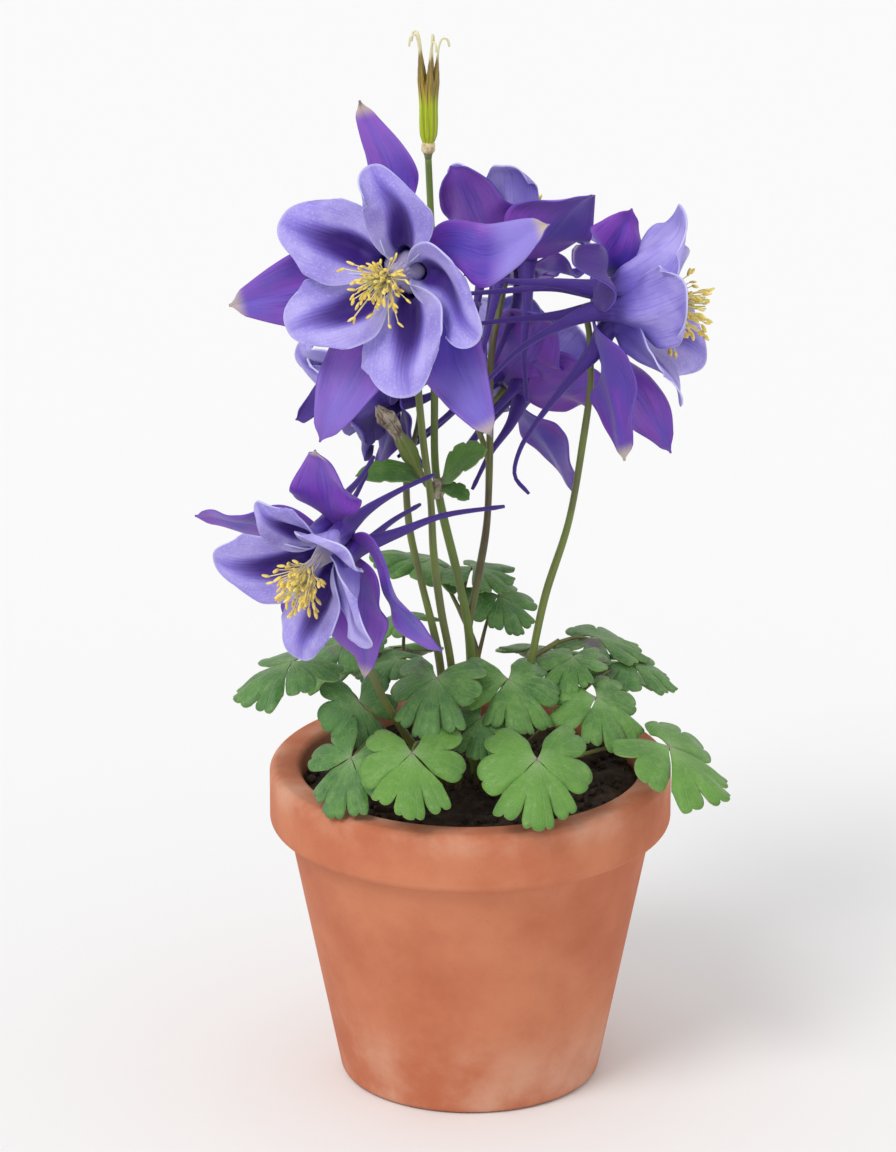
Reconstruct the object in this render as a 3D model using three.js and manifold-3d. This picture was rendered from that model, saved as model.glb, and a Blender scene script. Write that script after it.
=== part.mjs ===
// A potted columbine: a plain clay pot of soil that holds compound basal leaves, five flower stems,
// six long-spurred blooms, one ripening seed head and one withered bud. Millimetres, +Z up.
// The origin is the middle of the pot's foot. -Y is the side that the plant shows best.
//
// Directions are an azimuth and an elevation in degrees: azimuth 0 points along -Y and 90 along +X,
// and elevation is above the horizon.

import * as THREE from "three";
import { mergeVertices } from "three/addons/utils/BufferGeometryUtils.js";
import Module from "manifold-3d";

const wasm = await Module();
wasm.setup();

// Driving dimensions

const GAP = 0.3; // running gap between neighbouring pieces
const BLADE = 0.7; // thickness of petals, sepals and leaf blades

const POT = {
  height: 88, rimRadius: 54, rimHeight: 17, neckRadius: 49, footRadius: 35,
  wall: 4, floor: 5, sides: 32,
};
const DRAIN = { count: 3, radius: 4, ring: 18 };
const SOIL = { level: 83, bumps: 1.1, depth: 10 }; // depth is how deep the stems stand in it

// A bloom, measured from its throat, where the petals meet. Z is the bloom's own axis, out of its face.
const PETAL = {
  reach: 35, width: 24, lift: 24, arch: 3, tilt: 12,
  mouth: [7.5, -0.7], mouthWidth: 8.6, mouthArc: 270, tipArc: 62,
  near: [1, 0.84, 0.62, 0.4, 0.18, 0], far: [1, 0.75, 0.4, 0],
};
const SPUR = {
  rootRadius: 5.5, length: 46,
  near: [[0, 2.1, 230], [0.07, 1.6, 160], [0.34, 1.35, 135], [0.7, 0.9, 135], [1, 0.7, 135]],
  far: [[0, 2.1, 230], [0.07, 1.6, 160], [0.45, 1.25, 135], [1, 0.7, 135]],
};
const SEPAL = {
  reach: 48, width: 20, lift: 7, claw: 1.8, fold: 0.14,
  near: [0, 0.17, 0.35, 0.55, 0.78, 1], far: [0, 0.17, 0.4, 0.7, 1],
};
const HUB = { sepalRadius: 3.4, petalRadius: 4.7, petalTop: -0.9, petalBottom: -3.4, sepalBottom: -5.8 };
const COLUMN = {
  radius: 1.7, length: 12, reach: 20, fan: 30,
  sections: [[0, 0.35], [0.7, 0.35], [0.85, 0.95], [1, 0.3]],
};

// Six blooms. `turn` is where the first petal stands, counter-clockwise from the bloom's right as seen
// from its face; the other petals follow at fifths of a turn and the sepals stand between them. A list
// has a value for each organ: `Swing` turns its blade round the bloom's axis, `Lift` raises it out of the
// bloom's plane, `Bend` moves its tip along the axis, and `spurEnds` are [out from the axis, aside, along
// it]. `near` blooms have more facets.
const BLOOMS = {
  front: {
    at: [-18.3, -41.1, 239], azimuth: -20, elevation: 11, turn: 10, near: true,
    petalSwing: [-36, 4, 4, -14, -12], petalLift: [24, 26, 20, 22, 25], petalReach: [32, 32, 34, 33, 34],
    sepalSwing: [-27, -20, 6, -14, -28], sepalLift: [6, 8, 8, 8, 8], sepalReach: [43, 46, 48, 50, 49],
  },
  low: {
    at: [-37, -44, 164.5], azimuth: -34, elevation: -17, turn: 55, near: true,
    petalSwing: [-19, -4, -20, -12, -12], petalLift: [36, 27, 32, 32, 38], petalReach: [30, 25, 31, 31, 32],
    sepalSwing: [-1, 19, 0, -24, -53], sepalLift: [6, 0, 4, 12, 12], sepalReach: [32, 46, 34, 38, 43],
    spurEnds: [[8, -7, -36], [8, 7, -38], [10, -3, -34], [12, 0, -40], [26, -3, -45]],
  },
  right: {
    at: [36.5, -9, 220.2], azimuth: 93, elevation: 2, turn: 36, near: true,
    petalSwing: [-28, -16, -20, -10, -16], petalLift: [44, 40, 38, 34, 46], petalReach: [33, 33, 34, 33, 37],
    sepalSwing: [-10, -9, 26, -12, 0], sepalLift: [24, 10, 8, 24, 6], sepalReach: [30, 33, 42, 46, 40],
    sepalBend: [0, -9, 0, 0, 0],
    spurEnds: [[10, -6, -40], [12, 0, -38], [12, 18, -36], [46, 0, -26], [12, 0, -38]],
  },
  top: {
    at: [11.3, 36, 222], azimuth: 160, elevation: 55, turn: 24,
    petalSwing: [-6, 6, 14, 0, 0], petalLift: [44, 40, 14, 24, 24], petalReach: [28, 27, 28, 32, 32],
    sepalSwing: [-6, 5, 0, 0, 0], sepalLift: [34, 14, 6, 6, 10], sepalReach: [31, 42, 27, 40, 42],
    spurEnds: [[6, 0, -34], [12, 0, -43], [14, 0, -43], [5, 7, -40], [6, 0, -34]],
  },
  left: {
    at: [-25, 18, 187], azimuth: -75, elevation: -20, turn: 0,
    petalLift: [34, 40, 34, 34, 34], petalReach: [24, 30, 30, 28, 24],
    sepalSwing: [0, 0, 0, 0, -24], sepalLift: [2, 6, 32, 22, 4], sepalReach: [28, 36, 38, 34, 26],
    spurLength: 26,
  },
  back: {
    at: [12.5, 41, 184], azimuth: 136, elevation: 31, turn: 82,
    petalLift: [40, 30, 30, 30, 30], petalReach: [22, 26, 30, 30, 30],
    sepalSwing: [4, 0, 0, 0, 0], sepalLift: [18, 12, -4, 4, 4], sepalReach: [27, 34, 42, 36, 34],
    spurEnds: [[11, 0, -36], [7, 0, -22], [11, 0, -34], [12, 0, -38], [12, 0, -38]],
  },
};

// Flower stems: the foot of each in the soil, the points that it passes and the bloom that it carries.
// `neck` is the straight stretch behind the bloom. The main stem carries the seed head, and branches to
// the top and the back bloom.
const STEM = { footRadius: 1.35, tipRadius: 0.85, sides: 5, steps: 13 };
const STEMS = {
  front: {
    foot: [-2.8, -4.8], to: "front",
    via: [
      [-5.2, -5, 118], [-7.9, -6, 134], [-9.8, -7, 150],
      [-10.6, -8, 166], [-12.6, -9.5, 183], [-14, -12, 203],
    ],
  },
  low: {
    foot: [-7.4, -7], to: "low",
    via: [[-14.4, -17, 98], [-25, -30, 122], [-32.5, -31.5, 146], [-31, -26.5, 164]],
  },
  right: {
    foot: [5.8, -2.4], to: "right", neck: 8,
    via: [
      [11.4, -3, 94], [16, -3, 117], [20, -3, 137], [26, -2, 157],
      [29.6, -2, 179], [31.4, -1.5, 196], [30, -2.5, 209],
    ],
  },
  left: {
    foot: [-5.8, 3.8], to: "left", neck: 10,
    via: [[-8.4, 10, 114], [-13.6, 15, 136], [-16.4, 18, 149], [-17, 22, 163], [-13.5, 26, 178]],
  },
};
const MAIN = {
  foot: [1.4, 0], via: [[0.6, 1, 106], [-0.6, 2, 126]],
  seed: [[-3.4, 3.6, 140], [-9, 5.5, 166], [-9.6, 7, 192], [-9.8, 10, 222], [-10.6, 12, 240]],
  top: [[2.4, 8, 140], [4.4, 12, 152], [5.2, 16, 175], [5.6, 20, 197]],
  back: [[5, 15, 168], [3.4, 20, 172], [1.6, 25.5, 176]],
};

// The seed head: slim follicles joined at their base, each with a curled style.
const SEED = { at: [-11.2, 12, 254], length: 22, radius: 2.3, style: 11 };

// The withered bud and the small leaves at the node of the main stem.
const BUD = { node: [-8.8, 5.4, 163], base: [-13.6, 0.5, 169], tip: [-21.5, -1.5, 185.5], radius: 3 };

// Compound basal leaves: a foot in the soil, the forks of the leaf stalk, and its leaf groups. A group is
// three leaflets that meet at `at`; `heading` is the azimuth of its middle leaflet, `pitch` how far it
// droops, and `fork` the fork that its own stalk leaves from. `fine` groups have more lobes.
const STALK = { radius: 0.95, branchRadius: 0.6 };
const FRONDS = {
  front_left: { foot: [-3.2, -9.4], forks: [[-13, -24, 103]], groups: [
    { at: [-15.4, -42, 107], heading: 0, pitch: 34, reach: 19.5, fine: true },
  ] },
  left: { foot: [-9.4, -2.4], forks: [[-22.5, -16, 102.5], [-33.5, -12, 113.4]], groups: [
    { at: [-31.5, -34, 102.5], heading: -38, pitch: 48, reach: 17, fork: 0, fine: true },
    { at: [-47.4, -14, 122], heading: -70, pitch: 18, reach: 17, fork: 1, fine: true },
    { at: [-29.8, -20, 113], heading: 10, pitch: 50, reach: 13, fork: 1 },
  ] },
  front_right: { foot: [3.4, -9], forks: [[10, -26, 100]], groups: [
    { at: [18.8, -43, 105.5], heading: 8, pitch: 34, reach: 20.5, fine: true },
  ] },
  far_right: { foot: [9.2, -5.2], forks: [[30, -16, 96.5]], groups: [
    { at: [52.5, -28, 103.4], heading: 55, pitch: 26, reach: 20, fine: true },
  ] },
  right: { foot: [9.6, 1.2], forks: [[22, -3, 101], [26.5, -5, 107]], groups: [
    { at: [33.5, -13, 111.5], heading: 30, pitch: 26, reach: 16, fork: 1, fine: true },
    { at: [27.5, -1, 118.5], heading: -10, pitch: 10, reach: 12, fork: 1 },
    { at: [43, 12, 112], heading: 80, pitch: 12, reach: 14, fork: 1 },
  ] },
  middle: { foot: [3.4, 6.4], forks: [[14, 8, 112], [24, 13, 118]], groups: [
    { at: [34, 18, 117], heading: 80, pitch: 10, reach: 15, fork: 1, fine: true },
    { at: [17.5, 24, 112], heading: 150, pitch: 14, reach: 13, fork: 0 },
  ] },
  centre: { foot: [1.6, -5], forks: [[5.4, -9, 104]], groups: [
    { at: [10, -15, 117.5], heading: 15, pitch: 26, reach: 17, fine: true },
    { at: [2.8, -23, 109.5], heading: -15, pitch: 34, reach: 11 },
  ] },
  centre_left: { foot: [-5.4, -8.4], forks: [[-9.5, -17, 106]], groups: [
    { at: [-9, -23, 121], heading: -14, pitch: 24, reach: 17, fine: true },
    { at: [-19.5, -4, 119], heading: -70, pitch: 8, reach: 12 },
  ] },
  behind: { foot: [0.4, 8.8], forks: [[2, 17, 112], [-3, 22, 124]], groups: [
    { at: [7.5, 21, 128], heading: 35, pitch: 24, reach: 13, fork: 0 },
    { at: [-11, 31, 134.5], heading: -80, pitch: -20, reach: 15, fork: 1, fine: true },
    { at: [0.5, 27, 134], heading: 40, pitch: 0, reach: 14, fork: 1 },
  ] },
  behind_left: { foot: [-7, 7.2], forks: [[-18, 11, 110]], groups: [
    { at: [-33, 8, 120], heading: -70, pitch: 20, reach: 15 },
    { at: [-18.5, 17, 123], heading: -120, pitch: 10, reach: 14 },
  ] },
  rear_left: { foot: [-4, 10.8], forks: [[-14, 26, 102]], groups: [
    { at: [-22, 40, 106], heading: -150, pitch: 28, reach: 18 },
    { at: [-32, 24, 108], heading: -105, pitch: 22, reach: 15 },
  ] },
  rear_right: { foot: [5.2, 10.4], forks: [[14, 25, 101]], groups: [
    { at: [22, 41, 105.5], heading: 148, pitch: 28, reach: 18 },
    { at: [36, 27, 107], heading: 108, pitch: 22, reach: 16 },
  ] },
};

// Small leaves on the stems: where each grows from, its tip, its width and its stem.
const BRACTS = [
  { from: [-9.6, 4.6, 162.4], to: [-26, -7, 167], width: 8 },
  { from: [-8, 4.6, 163.4], to: [2.6, -3, 170.5], width: 9 },
  { from: [-8.2, 4.2, 162], to: [-1.5, -1.5, 163.5], width: 5 },
];

// Geometry helpers

const { cos, sin, PI, hypot, sqrt, abs, min, max } = Math;
const radians = THREE.MathUtils.degToRad;
const mix = THREE.MathUtils.lerp;
const smooth = THREE.MathUtils.smoothstep;

// Unit vector for an azimuth and an elevation in degrees.
function direction(azimuth, elevation) {
  const a = radians(azimuth);
  const e = radians(elevation);
  return new THREE.Vector3(sin(a) * cos(e), -cos(a) * cos(e), sin(e));
}

// The rotation that turns local Z to `axis` and keeps local Y as upright as it can be.
function facing(axis) {
  const right = new THREE.Vector3(0, 0, 1).cross(axis).normalize();
  const up = axis.clone().cross(right);
  return new THREE.Matrix4().makeBasis(right, up, axis);
}

// A closed geometry as a manifold solid.
function solid(geometry) {
  const bare = geometry.clone();
  bare.deleteAttribute("uv");
  bare.deleteAttribute("normal");
  const merged = mergeVertices(bare, 1e-4);
  return new wasm.Manifold(new wasm.Mesh({
    numProp: 3,
    vertProperties: merged.attributes.position.array,
    triVerts: new Uint32Array(merged.index.array),
  }));
}

// One solid from several that overlap.
function fused(geometries) {
  return geometries.map(solid).reduce((whole, piece) => whole.add(piece));
}

// A named mesh from a manifold solid, with a matt surface of its own colour and roughness.
function node(name, shape, surface) {
  const { numVert, numProp, vertProperties, triVerts } = shape.getMesh();
  const places = new Float32Array(numVert * 3);
  for (let i = 0; i < numVert; i++) {
    places.set(vertProperties.subarray(i * numProp, i * numProp + 3), i * 3);
  }
  const geometry = new THREE.BufferGeometry();
  geometry.setAttribute("position", new THREE.BufferAttribute(places, 3));
  geometry.setIndex(new THREE.BufferAttribute(triVerts, 1));
  const mesh = new THREE.Mesh(geometry, new THREE.MeshStandardMaterial({ metalness: 0, ...surface }));
  mesh.name = name;
  return mesh;
}

// Moves each vertex of a geometry to where `place(vertex)` puts it.
function reshape(geometry, place) {
  const position = geometry.attributes.position;
  const vertex = new THREE.Vector3();
  for (let i = 0; i < position.count; i++) {
    vertex.fromBufferAttribute(position, i);
    const moved = place(vertex);
    position.setXYZ(i, moved.x, moved.y, moved.z);
  }
  return geometry;
}

// A closed blade from an open surface: the surface on both sides, split alike, and a rim round its edge.
function thickened(surface, thickness) {
  const bare = surface.clone();
  bare.deleteAttribute("uv");
  bare.deleteAttribute("normal");
  const sheet = mergeVertices(bare, 1e-4);
  sheet.computeVertexNormals();
  const { position, normal } = sheet.attributes;
  const count = position.count;
  const places = new Float32Array(count * 6);
  for (let i = 0; i < count; i++) {
    for (let axis = 0; axis < 3; axis++) {
      const offset = normal.getComponent(i, axis) * thickness / 2;
      places[i * 3 + axis] = position.getComponent(i, axis) + offset;
      places[(count + i) * 3 + axis] = position.getComponent(i, axis) - offset;
    }
  }
  const faces = [];
  const edges = new Set();
  const index = sheet.index.array;
  for (let i = 0; i < index.length; i += 3) {
    const [a, b, c] = index.subarray(i, i + 3);
    faces.push(a, b, c, count + a, count + c, count + b);
    for (const [from, to] of [[a, b], [b, c], [c, a]]) edges.add(from * count + to);
  }
  for (const edge of edges) {
    const from = Math.floor(edge / count);
    const to = edge % count;
    if (!edges.has(to * count + from)) faces.push(to, from, count + from, to, count + from, count + to);
  }
  const blade = new THREE.BufferGeometry();
  blade.setAttribute("position", new THREE.BufferAttribute(places, 3));
  blade.setIndex(faces);
  return blade;
}

// A closed tube along a curve. `sections` lists [share of its length, radius] from its start to its end.
function tube(points, sections, sides) {
  const curve = new THREE.CatmullRomCurve3(points.map((p) => (p.isVector3 ? p : new THREE.Vector3(...p))));
  const rows = sections.length - 1;
  const fine = 80;
  const { normals, binormals } = curve.computeFrenetFrames(fine);
  return reshape(new THREE.CylinderGeometry(1, 1, 1, sides, rows), (v) => {
    const [share, radius] = sections[Math.round((0.5 - v.y) * rows)];
    const step = Math.round(share * fine);
    return curve.getPointAt(share)
      .addScaledVector(normals[step], v.x * radius)
      .addScaledVector(binormals[step], v.z * radius);
  });
}

// Sections of a tube that tapers evenly in a number of steps.
function taper(from, to, steps) {
  return Array.from({ length: steps + 1 }, (_, i) => [i / steps, mix(from, to, i / steps)]);
}

// Blooms, in their own frame

// A place in a bloom: `out` from the axis and `along` it, at `turn` degrees, moved `aside` round the bloom.
function spot(turn, out, along, aside = 0) {
  const t = radians(turn);
  return new THREE.Vector3(out * cos(t) - aside * sin(t), out * sin(t) + aside * cos(t), along);
}

// A petal is one closed skin over a row of stations, from the tip of its blade to the end of its spur.
// Each station is an arc that curls about a centre: a thin open shell in the blade, and a full tube in
// the spur. `heading` points up the petal's back line, as [out, along].
function bladeStation(share, { swing, lift, reach, width, bend }) {
  const l = radians(lift);
  const back = new THREE.CubicBezierCurve(
    new THREE.Vector2(PETAL.mouth[0], PETAL.mouth[1]),
    new THREE.Vector2(PETAL.mouth[0] + 0.4, 4.5),
    new THREE.Vector2(
      0.62 * reach * cos(l) - PETAL.arch * sin(l),
      0.62 * reach * sin(l) + PETAL.arch * cos(l),
    ),
    new THREE.Vector2(reach * cos(l), reach * sin(l)),
  );
  const arc = radians(mix(PETAL.mouthArc, PETAL.tipArc, smooth(share, 0, 0.5)));
  const rounding = 1 - 0.5 * max(0, (share - 0.72) / 0.28) ** 2;
  const span = mix(PETAL.mouthWidth, width, smooth(share, 0.05, 0.66)) * rounding;
  return (across) => {
    const own = share * (1 - 0.1 * across * across * share * share);
    const line = back.getPoint(own);
    const heading = back.getTangent(own);
    const along = line.y + bend * smooth(own, 0.5, 1) ** 2;
    const tilt = radians(PETAL.tilt) * smooth(own, 0.1, 0.5);
    const lean = swing * smooth(own, 0.3, 1);
    return { line: [line.x, along, 0], heading, radius: span / arc, arc, lean, tilt };
  };
}

function spurStation([share, radius, arc], curve) {
  const centre = curve.getPoint(share);
  const tangent = curve.getTangent(share).negate();
  const heading = new THREE.Vector2(tangent.x, tangent.y).normalize();
  const line = [centre.x + heading.y * radius, centre.y - heading.x * radius, centre.z];
  return () => ({ line, heading, radius, arc: radians(arc), lean: 0, tilt: 0, full: true });
}

function petal(turn, shape, [out, aside, along], { sides, shares, sections }) {
  const curve = new THREE.CatmullRomCurve3([
    new THREE.Vector3(SPUR.rootRadius, -2.2, 0),
    new THREE.Vector3(SPUR.rootRadius + 0.5, -5.2, 0),
    new THREE.Vector3(mix(SPUR.rootRadius + 1, out, 0.2), 0.36 * along, 0.12 * aside),
    new THREE.Vector3(mix(SPUR.rootRadius + 0.5, out, 0.5), 0.68 * along, 0.45 * aside),
    new THREE.Vector3(out, along, aside),
  ]);
  const stations = [
    ...shares.map((share) => bladeStation(share, shape)),
    ...sections.map((section) => spurStation(section, curve)),
  ];
  const skin = new THREE.CylinderGeometry(1, 1, 1, sides, stations.length - 1);
  const half = sides / 2;
  return reshape(skin, (v) => {
    const station = stations[Math.round((0.5 - v.y) * (stations.length - 1))];
    const place = Math.round((Math.atan2(v.x, v.z) / (2 * PI) + 1) * sides) % sides;
    const middle = hypot(v.x, v.z) < 0.5;
    const outside = place < half;
    const across = middle ? 0 : 2 * (outside ? place : sides - 1 - place) / (half - 1) - 1;
    const { line, heading, radius, arc, lean, tilt, full } = station(across);
    const shell = full ? 0 : BLADE / 2;
    const rim = radius + (outside ? shell : -shell);
    const core = full ? 0 : radius;
    const reach = middle ? core : rim;
    const angle = outside || !full ? across * arc / 2 : PI - 0.6 * across * (PI - arc / 2);
    const curl = radius - reach * cos(angle);
    const inward = curl * cos(tilt) + reach * sin(angle) * sin(tilt);
    const aside = line[2] + reach * sin(angle) * cos(tilt) - curl * sin(tilt);
    return spot(turn + lean, line[0] - heading.y * inward, line[1] + heading.x * inward, aside);
  });
}

// The five-sided disc that organs grow from, with a flat side towards each of them.
function disc(radius, bottom, top, turn) {
  const slab = new THREE.CylinderGeometry(radius, radius, top - bottom, 5);
  return slab.rotateX(PI / 2).rotateZ(radians(turn + 126)).translate(0, 0, (top + bottom) / 2);
}

// A sepal: a narrow claw between two spurs, then a folded, pointed blade.
function sepalBlade(turn, { swing, lift, reach, width, bend }, shares) {
  const l = radians(lift);
  const level = (HUB.petalBottom - GAP + HUB.sepalBottom) / 2;
  const middle = new THREE.CubicBezierCurve(
    new THREE.Vector2(1.5, level),
    new THREE.Vector2(0.35 * reach, level),
    new THREE.Vector2(0.6 * reach * cos(l), level + 0.6 * reach * sin(l) + 1.5),
    new THREE.Vector2(reach * cos(l), level + reach * sin(l)),
  );
  const rows = shares.length - 1;
  const strip = reshape(new THREE.PlaneGeometry(2, 1, 2, rows), ({ x: across, y }) => {
    const share = shares[Math.round((y + 0.5) * rows)];
    const centre = middle.getPoint(share);
    const heading = middle.getTangent(share);
    const body = smooth(share, 0.16, 0.5) * (1 - smooth(share, 0.5, 1.04)) ** 0.75;
    const span = SEPAL.claw + (width - SEPAL.claw) * body * 1.06;
    const fold = SEPAL.fold * span * abs(across) * smooth(share, 0.15, 0.4);
    const along = centre.y + heading.x * fold + bend * smooth(share, 0.45, 1) ** 2;
    const lean = swing * smooth(share, 0.16, 0.8);
    return spot(turn + lean, centre.x - heading.y * fold, along, -across * span / 2);
  });
  return thickened(strip, BLADE);
}

// A stamen: a thread that leans out of the column and ends in a long anther.
function stamen(turn, fan, reach) {
  const tip = spot(turn, reach * sin(fan), reach * cos(fan));
  const root = spot(turn, COLUMN.radius * 0.4, 1);
  const bow = root.clone().lerp(tip, 0.55).add(new THREE.Vector3(0, 0, 1.2));
  return tube([root, bow, tip], COLUMN.sections, 3);
}

// The value of one organ of a bloom: its own, where the bloom lists it, or the usual one.
function organ(bloom, kind, i, usual) {
  const own = (name, value) => bloom[kind + name]?.[i] ?? value;
  return {
    swing: own("Swing", 0), lift: own("Lift", usual.lift), bend: own("Bend", 0),
    reach: own("Reach", usual.reach), width: own("Width", usual.width),
  };
}

function spurEnd({ spurEnds, spurLength = SPUR.length }, i) {
  return spurEnds?.[i] ?? [0.3 * spurLength, 0, -spurLength];
}

function petalsOf(bloom) {
  const pieces = [disc(HUB.petalRadius, HUB.petalBottom, HUB.petalTop, bloom.turn)];
  const near = { sides: 8, shares: PETAL.near, sections: SPUR.near };
  const far = { sides: 6, shares: PETAL.far, sections: SPUR.far };
  const detail = bloom.near ? near : far;
  for (let i = 0; i < 5; i++) {
    const shape = organ(bloom, "petal", i, PETAL);
    pieces.push(petal(bloom.turn + 72 * i, shape, spurEnd(bloom, i), detail));
  }
  return fused(pieces);
}

function sepalsOf(bloom) {
  const first = bloom.turn + 36;
  const pieces = [disc(HUB.sepalRadius, HUB.sepalBottom, HUB.petalBottom - GAP, first)];
  const shares = bloom.near ? SEPAL.near : SEPAL.far;
  for (let i = 0; i < 5; i++) {
    pieces.push(sepalBlade(first + 72 * i, organ(bloom, "sepal", i, SEPAL), shares));
  }
  return fused(pieces);
}

function stamensOf({ near }) {
  const foot = HUB.petalTop + GAP;
  const core = new THREE.CylinderGeometry(COLUMN.radius * 1.25, COLUMN.radius, COLUMN.length - foot, 5);
  const pieces = [core.rotateX(PI / 2).translate(0, 0, (COLUMN.length + foot) / 2)];
  const count = near ? 10 : 6;
  for (let i = 0; i < count; i++) {
    const fan = radians(COLUMN.fan) * sqrt((i + 1) / count);
    pieces.push(stamen(i * 137.5, fan, COLUMN.reach - 2 * (i % 3)));
  }
  return fused(pieces);
}

// Leaves

// Half of a leaflet's outline, from its side to its middle lobe: [share of its half angle, share of its
// length]. The dips are the notches between its lobes.
const LEAFLET = {
  turns: [-88, 0, 88], halfAngle: 44, sideShare: 0.84,
  fine: [[1, 0.2], [0.93, 0.78], [0.74, 0.9], [0.52, 0.87], [0.38, 0.68], [0.25, 0.96], [0.08, 1]],
  plain: [[1, 0.24], [0.84, 0.86], [0.42, 0.7], [0.22, 0.98]],
};

// The frame of a leaf group: Y along its middle leaflet and Z out of its upper face.
function leafFrame({ at, heading, pitch }) {
  const forward = direction(heading, -pitch);
  const right = forward.clone().cross(new THREE.Vector3(0, 0, 1)).normalize();
  return new THREE.Matrix4().makeBasis(right, forward, right.clone().cross(forward)).setPosition(...at);
}

// A leaf group: three fans of lobes, cut nearly to the point where they meet, waved and drooping.
function leafGroup(group) {
  const { reach, fine = false } = group;
  const side = fine ? LEAFLET.fine : LEAFLET.plain;
  const outline = [...side.map(([t, r]) => [-t, r]), ...side.toReversed()];
  const points = LEAFLET.turns.flatMap((turn) => outline.map(([t, r]) => [turn, t, r]));
  const fan = new THREE.CircleGeometry(1, points.length - 1, 0, 1);
  points.forEach(([turn, t, r], i) => {
    const angle = radians(turn + t * LEAFLET.halfAngle);
    const size = reach * (turn ? LEAFLET.sideShare : 1);
    const wave = 0.05 * cos(t * 3 * PI) - 0.13 - 0.1 * abs(t);
    fan.attributes.position.setXYZ(i + 1, -r * size * sin(angle), r * size * cos(angle), r * size * wave);
  });
  return thickened(fan, BLADE).applyMatrix4(leafFrame(group));
}

// The two points of a stem or stalk in and just above the soil.
function rooted([x, y], clearance) {
  return [[x, y, SOIL.level - SOIL.depth - clearance], [1.04 * x, 1.04 * y, SOIL.level + 2]];
}

function stalk({ foot, forks }, clearance = 0) {
  const sections = taper(STALK.radius + clearance, STALK.branchRadius + 0.15 + clearance, 4);
  return tube([...rooted(foot, clearance), ...forks], sections, 5);
}

// A compound leaf: its stalk stands in the soil and forks to its leaf groups.
function frond(leaf) {
  const { foot, forks, groups } = leaf;
  const pieces = [stalk(leaf)];
  for (const group of groups) {
    const index = group.fork ?? 0;
    const start = new THREE.Vector3(...forks[index]);
    const before = new THREE.Vector3(...(forks[index - 1] ?? rooted(foot, 0)[1]));
    const end = new THREE.Vector3(...group.at);
    const lead = start.clone().lerp(before, 1.2 / start.distanceTo(before));
    const frame = leafFrame(group);
    const under = new THREE.Vector3(0, -0.6, -1.5).applyMatrix4(frame);
    const rib = new THREE.Vector3(0, 0.24 * group.reach, -0.02 * group.reach - 0.35).applyMatrix4(frame);
    const bend = start.clone().lerp(under, 0.5).add(new THREE.Vector3(0, 0, 0.07 * start.distanceTo(end)));
    pieces.push(tube([lead, bend, under, rib], taper(STALK.branchRadius, 0.45, 4), 3));
    pieces.push(leafGroup(group));
  }
  return fused(pieces);
}

// A small stem leaf: a pointed blade with a shallow fold along its middle.
function bract({ from, to, width }) {
  const start = new THREE.Vector3(...from);
  const reach = new THREE.Vector3(...to).sub(start);
  const forward = reach.clone().normalize();
  const right = forward.clone().cross(new THREE.Vector3(0, -0.35, 1)).normalize();
  const up = right.clone().cross(forward);
  const blade = reshape(new THREE.PlaneGeometry(2, 1, 2, 4), ({ x: across, y }) => {
    const share = y + 0.5;
    const span = 0.9 + width * sin(PI * share ** 0.8) ** 0.8;
    return start.clone().addScaledVector(reach, share)
      .addScaledVector(right, across * span / 2)
      .addScaledVector(up, 0.14 * span * abs(across) + 2 * sin(PI * share));
  });
  return thickened(blade, BLADE);
}

// Flower stems

// The last stretch of a stem, into the back of its bloom.
function neck(name, length = 16) {
  const { at, azimuth, elevation } = BLOOMS[name];
  const axis = direction(azimuth, elevation);
  const throat = new THREE.Vector3(...at);
  return [-length, HUB.sepalBottom - GAP].map((along) => throat.clone().addScaledVector(axis, along));
}

function flowerStem(stem, clearance = 0) {
  const { foot, via, to } = stem;
  const points = [...rooted(foot, clearance), ...via, ...neck(to, stem.neck)];
  const sections = taper(STEM.footRadius + clearance, STEM.tipRadius + clearance, STEM.steps);
  return tube(points, sections, STEM.sides);
}

function mainAxis(clearance = 0) {
  const { foot, via, seed } = MAIN;
  const end = new THREE.Vector3(...SEED.at).addScaledVector(new THREE.Vector3(0, 0, 1), -GAP);
  const sections = taper(STEM.footRadius + 0.3 + clearance, STEM.tipRadius + clearance, STEM.steps + 3);
  return tube([...rooted(foot, clearance), ...via, ...seed, end], sections, STEM.sides);
}

function mainStem() {
  const { via, top, back } = MAIN;
  const { footRadius, tipRadius, sides } = STEM;
  const budBase = new THREE.Vector3(...BUD.base);
  const budLead = budBase.clone().add(budBase.clone().sub(new THREE.Vector3(...BUD.tip)).setLength(2));
  return fused([
    mainAxis(),
    tube([via.at(-1), ...top, ...neck("top")], taper(footRadius - 0.2, tipRadius, 9), sides),
    tube([...back, ...neck("back")], taper(tipRadius, tipRadius - 0.1, 5), sides),
    tube([BUD.node, budLead, budBase], taper(0.8, 0.7, 2), sides),
    ...BRACTS.map(bract),
  ]);
}

function bud() {
  const base = new THREE.Vector3(...BUD.base);
  const tip = new THREE.Vector3(...BUD.tip);
  const start = base.clone().lerp(tip, GAP / base.distanceTo(tip));
  const middle = start.clone().lerp(tip, 0.5).add(new THREE.Vector3(0.6, 0, 0.4));
  const { radius } = BUD;
  const sections = [
    [0, 0.7], [0.12, 0.75 * radius], [0.35, radius], [0.6, 0.62 * radius],
    [0.72, 0.8 * radius], [0.88, 0.6 * radius], [1, 0.25],
  ];
  return solid(tube([start, middle, tip], sections, 8));
}

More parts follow.
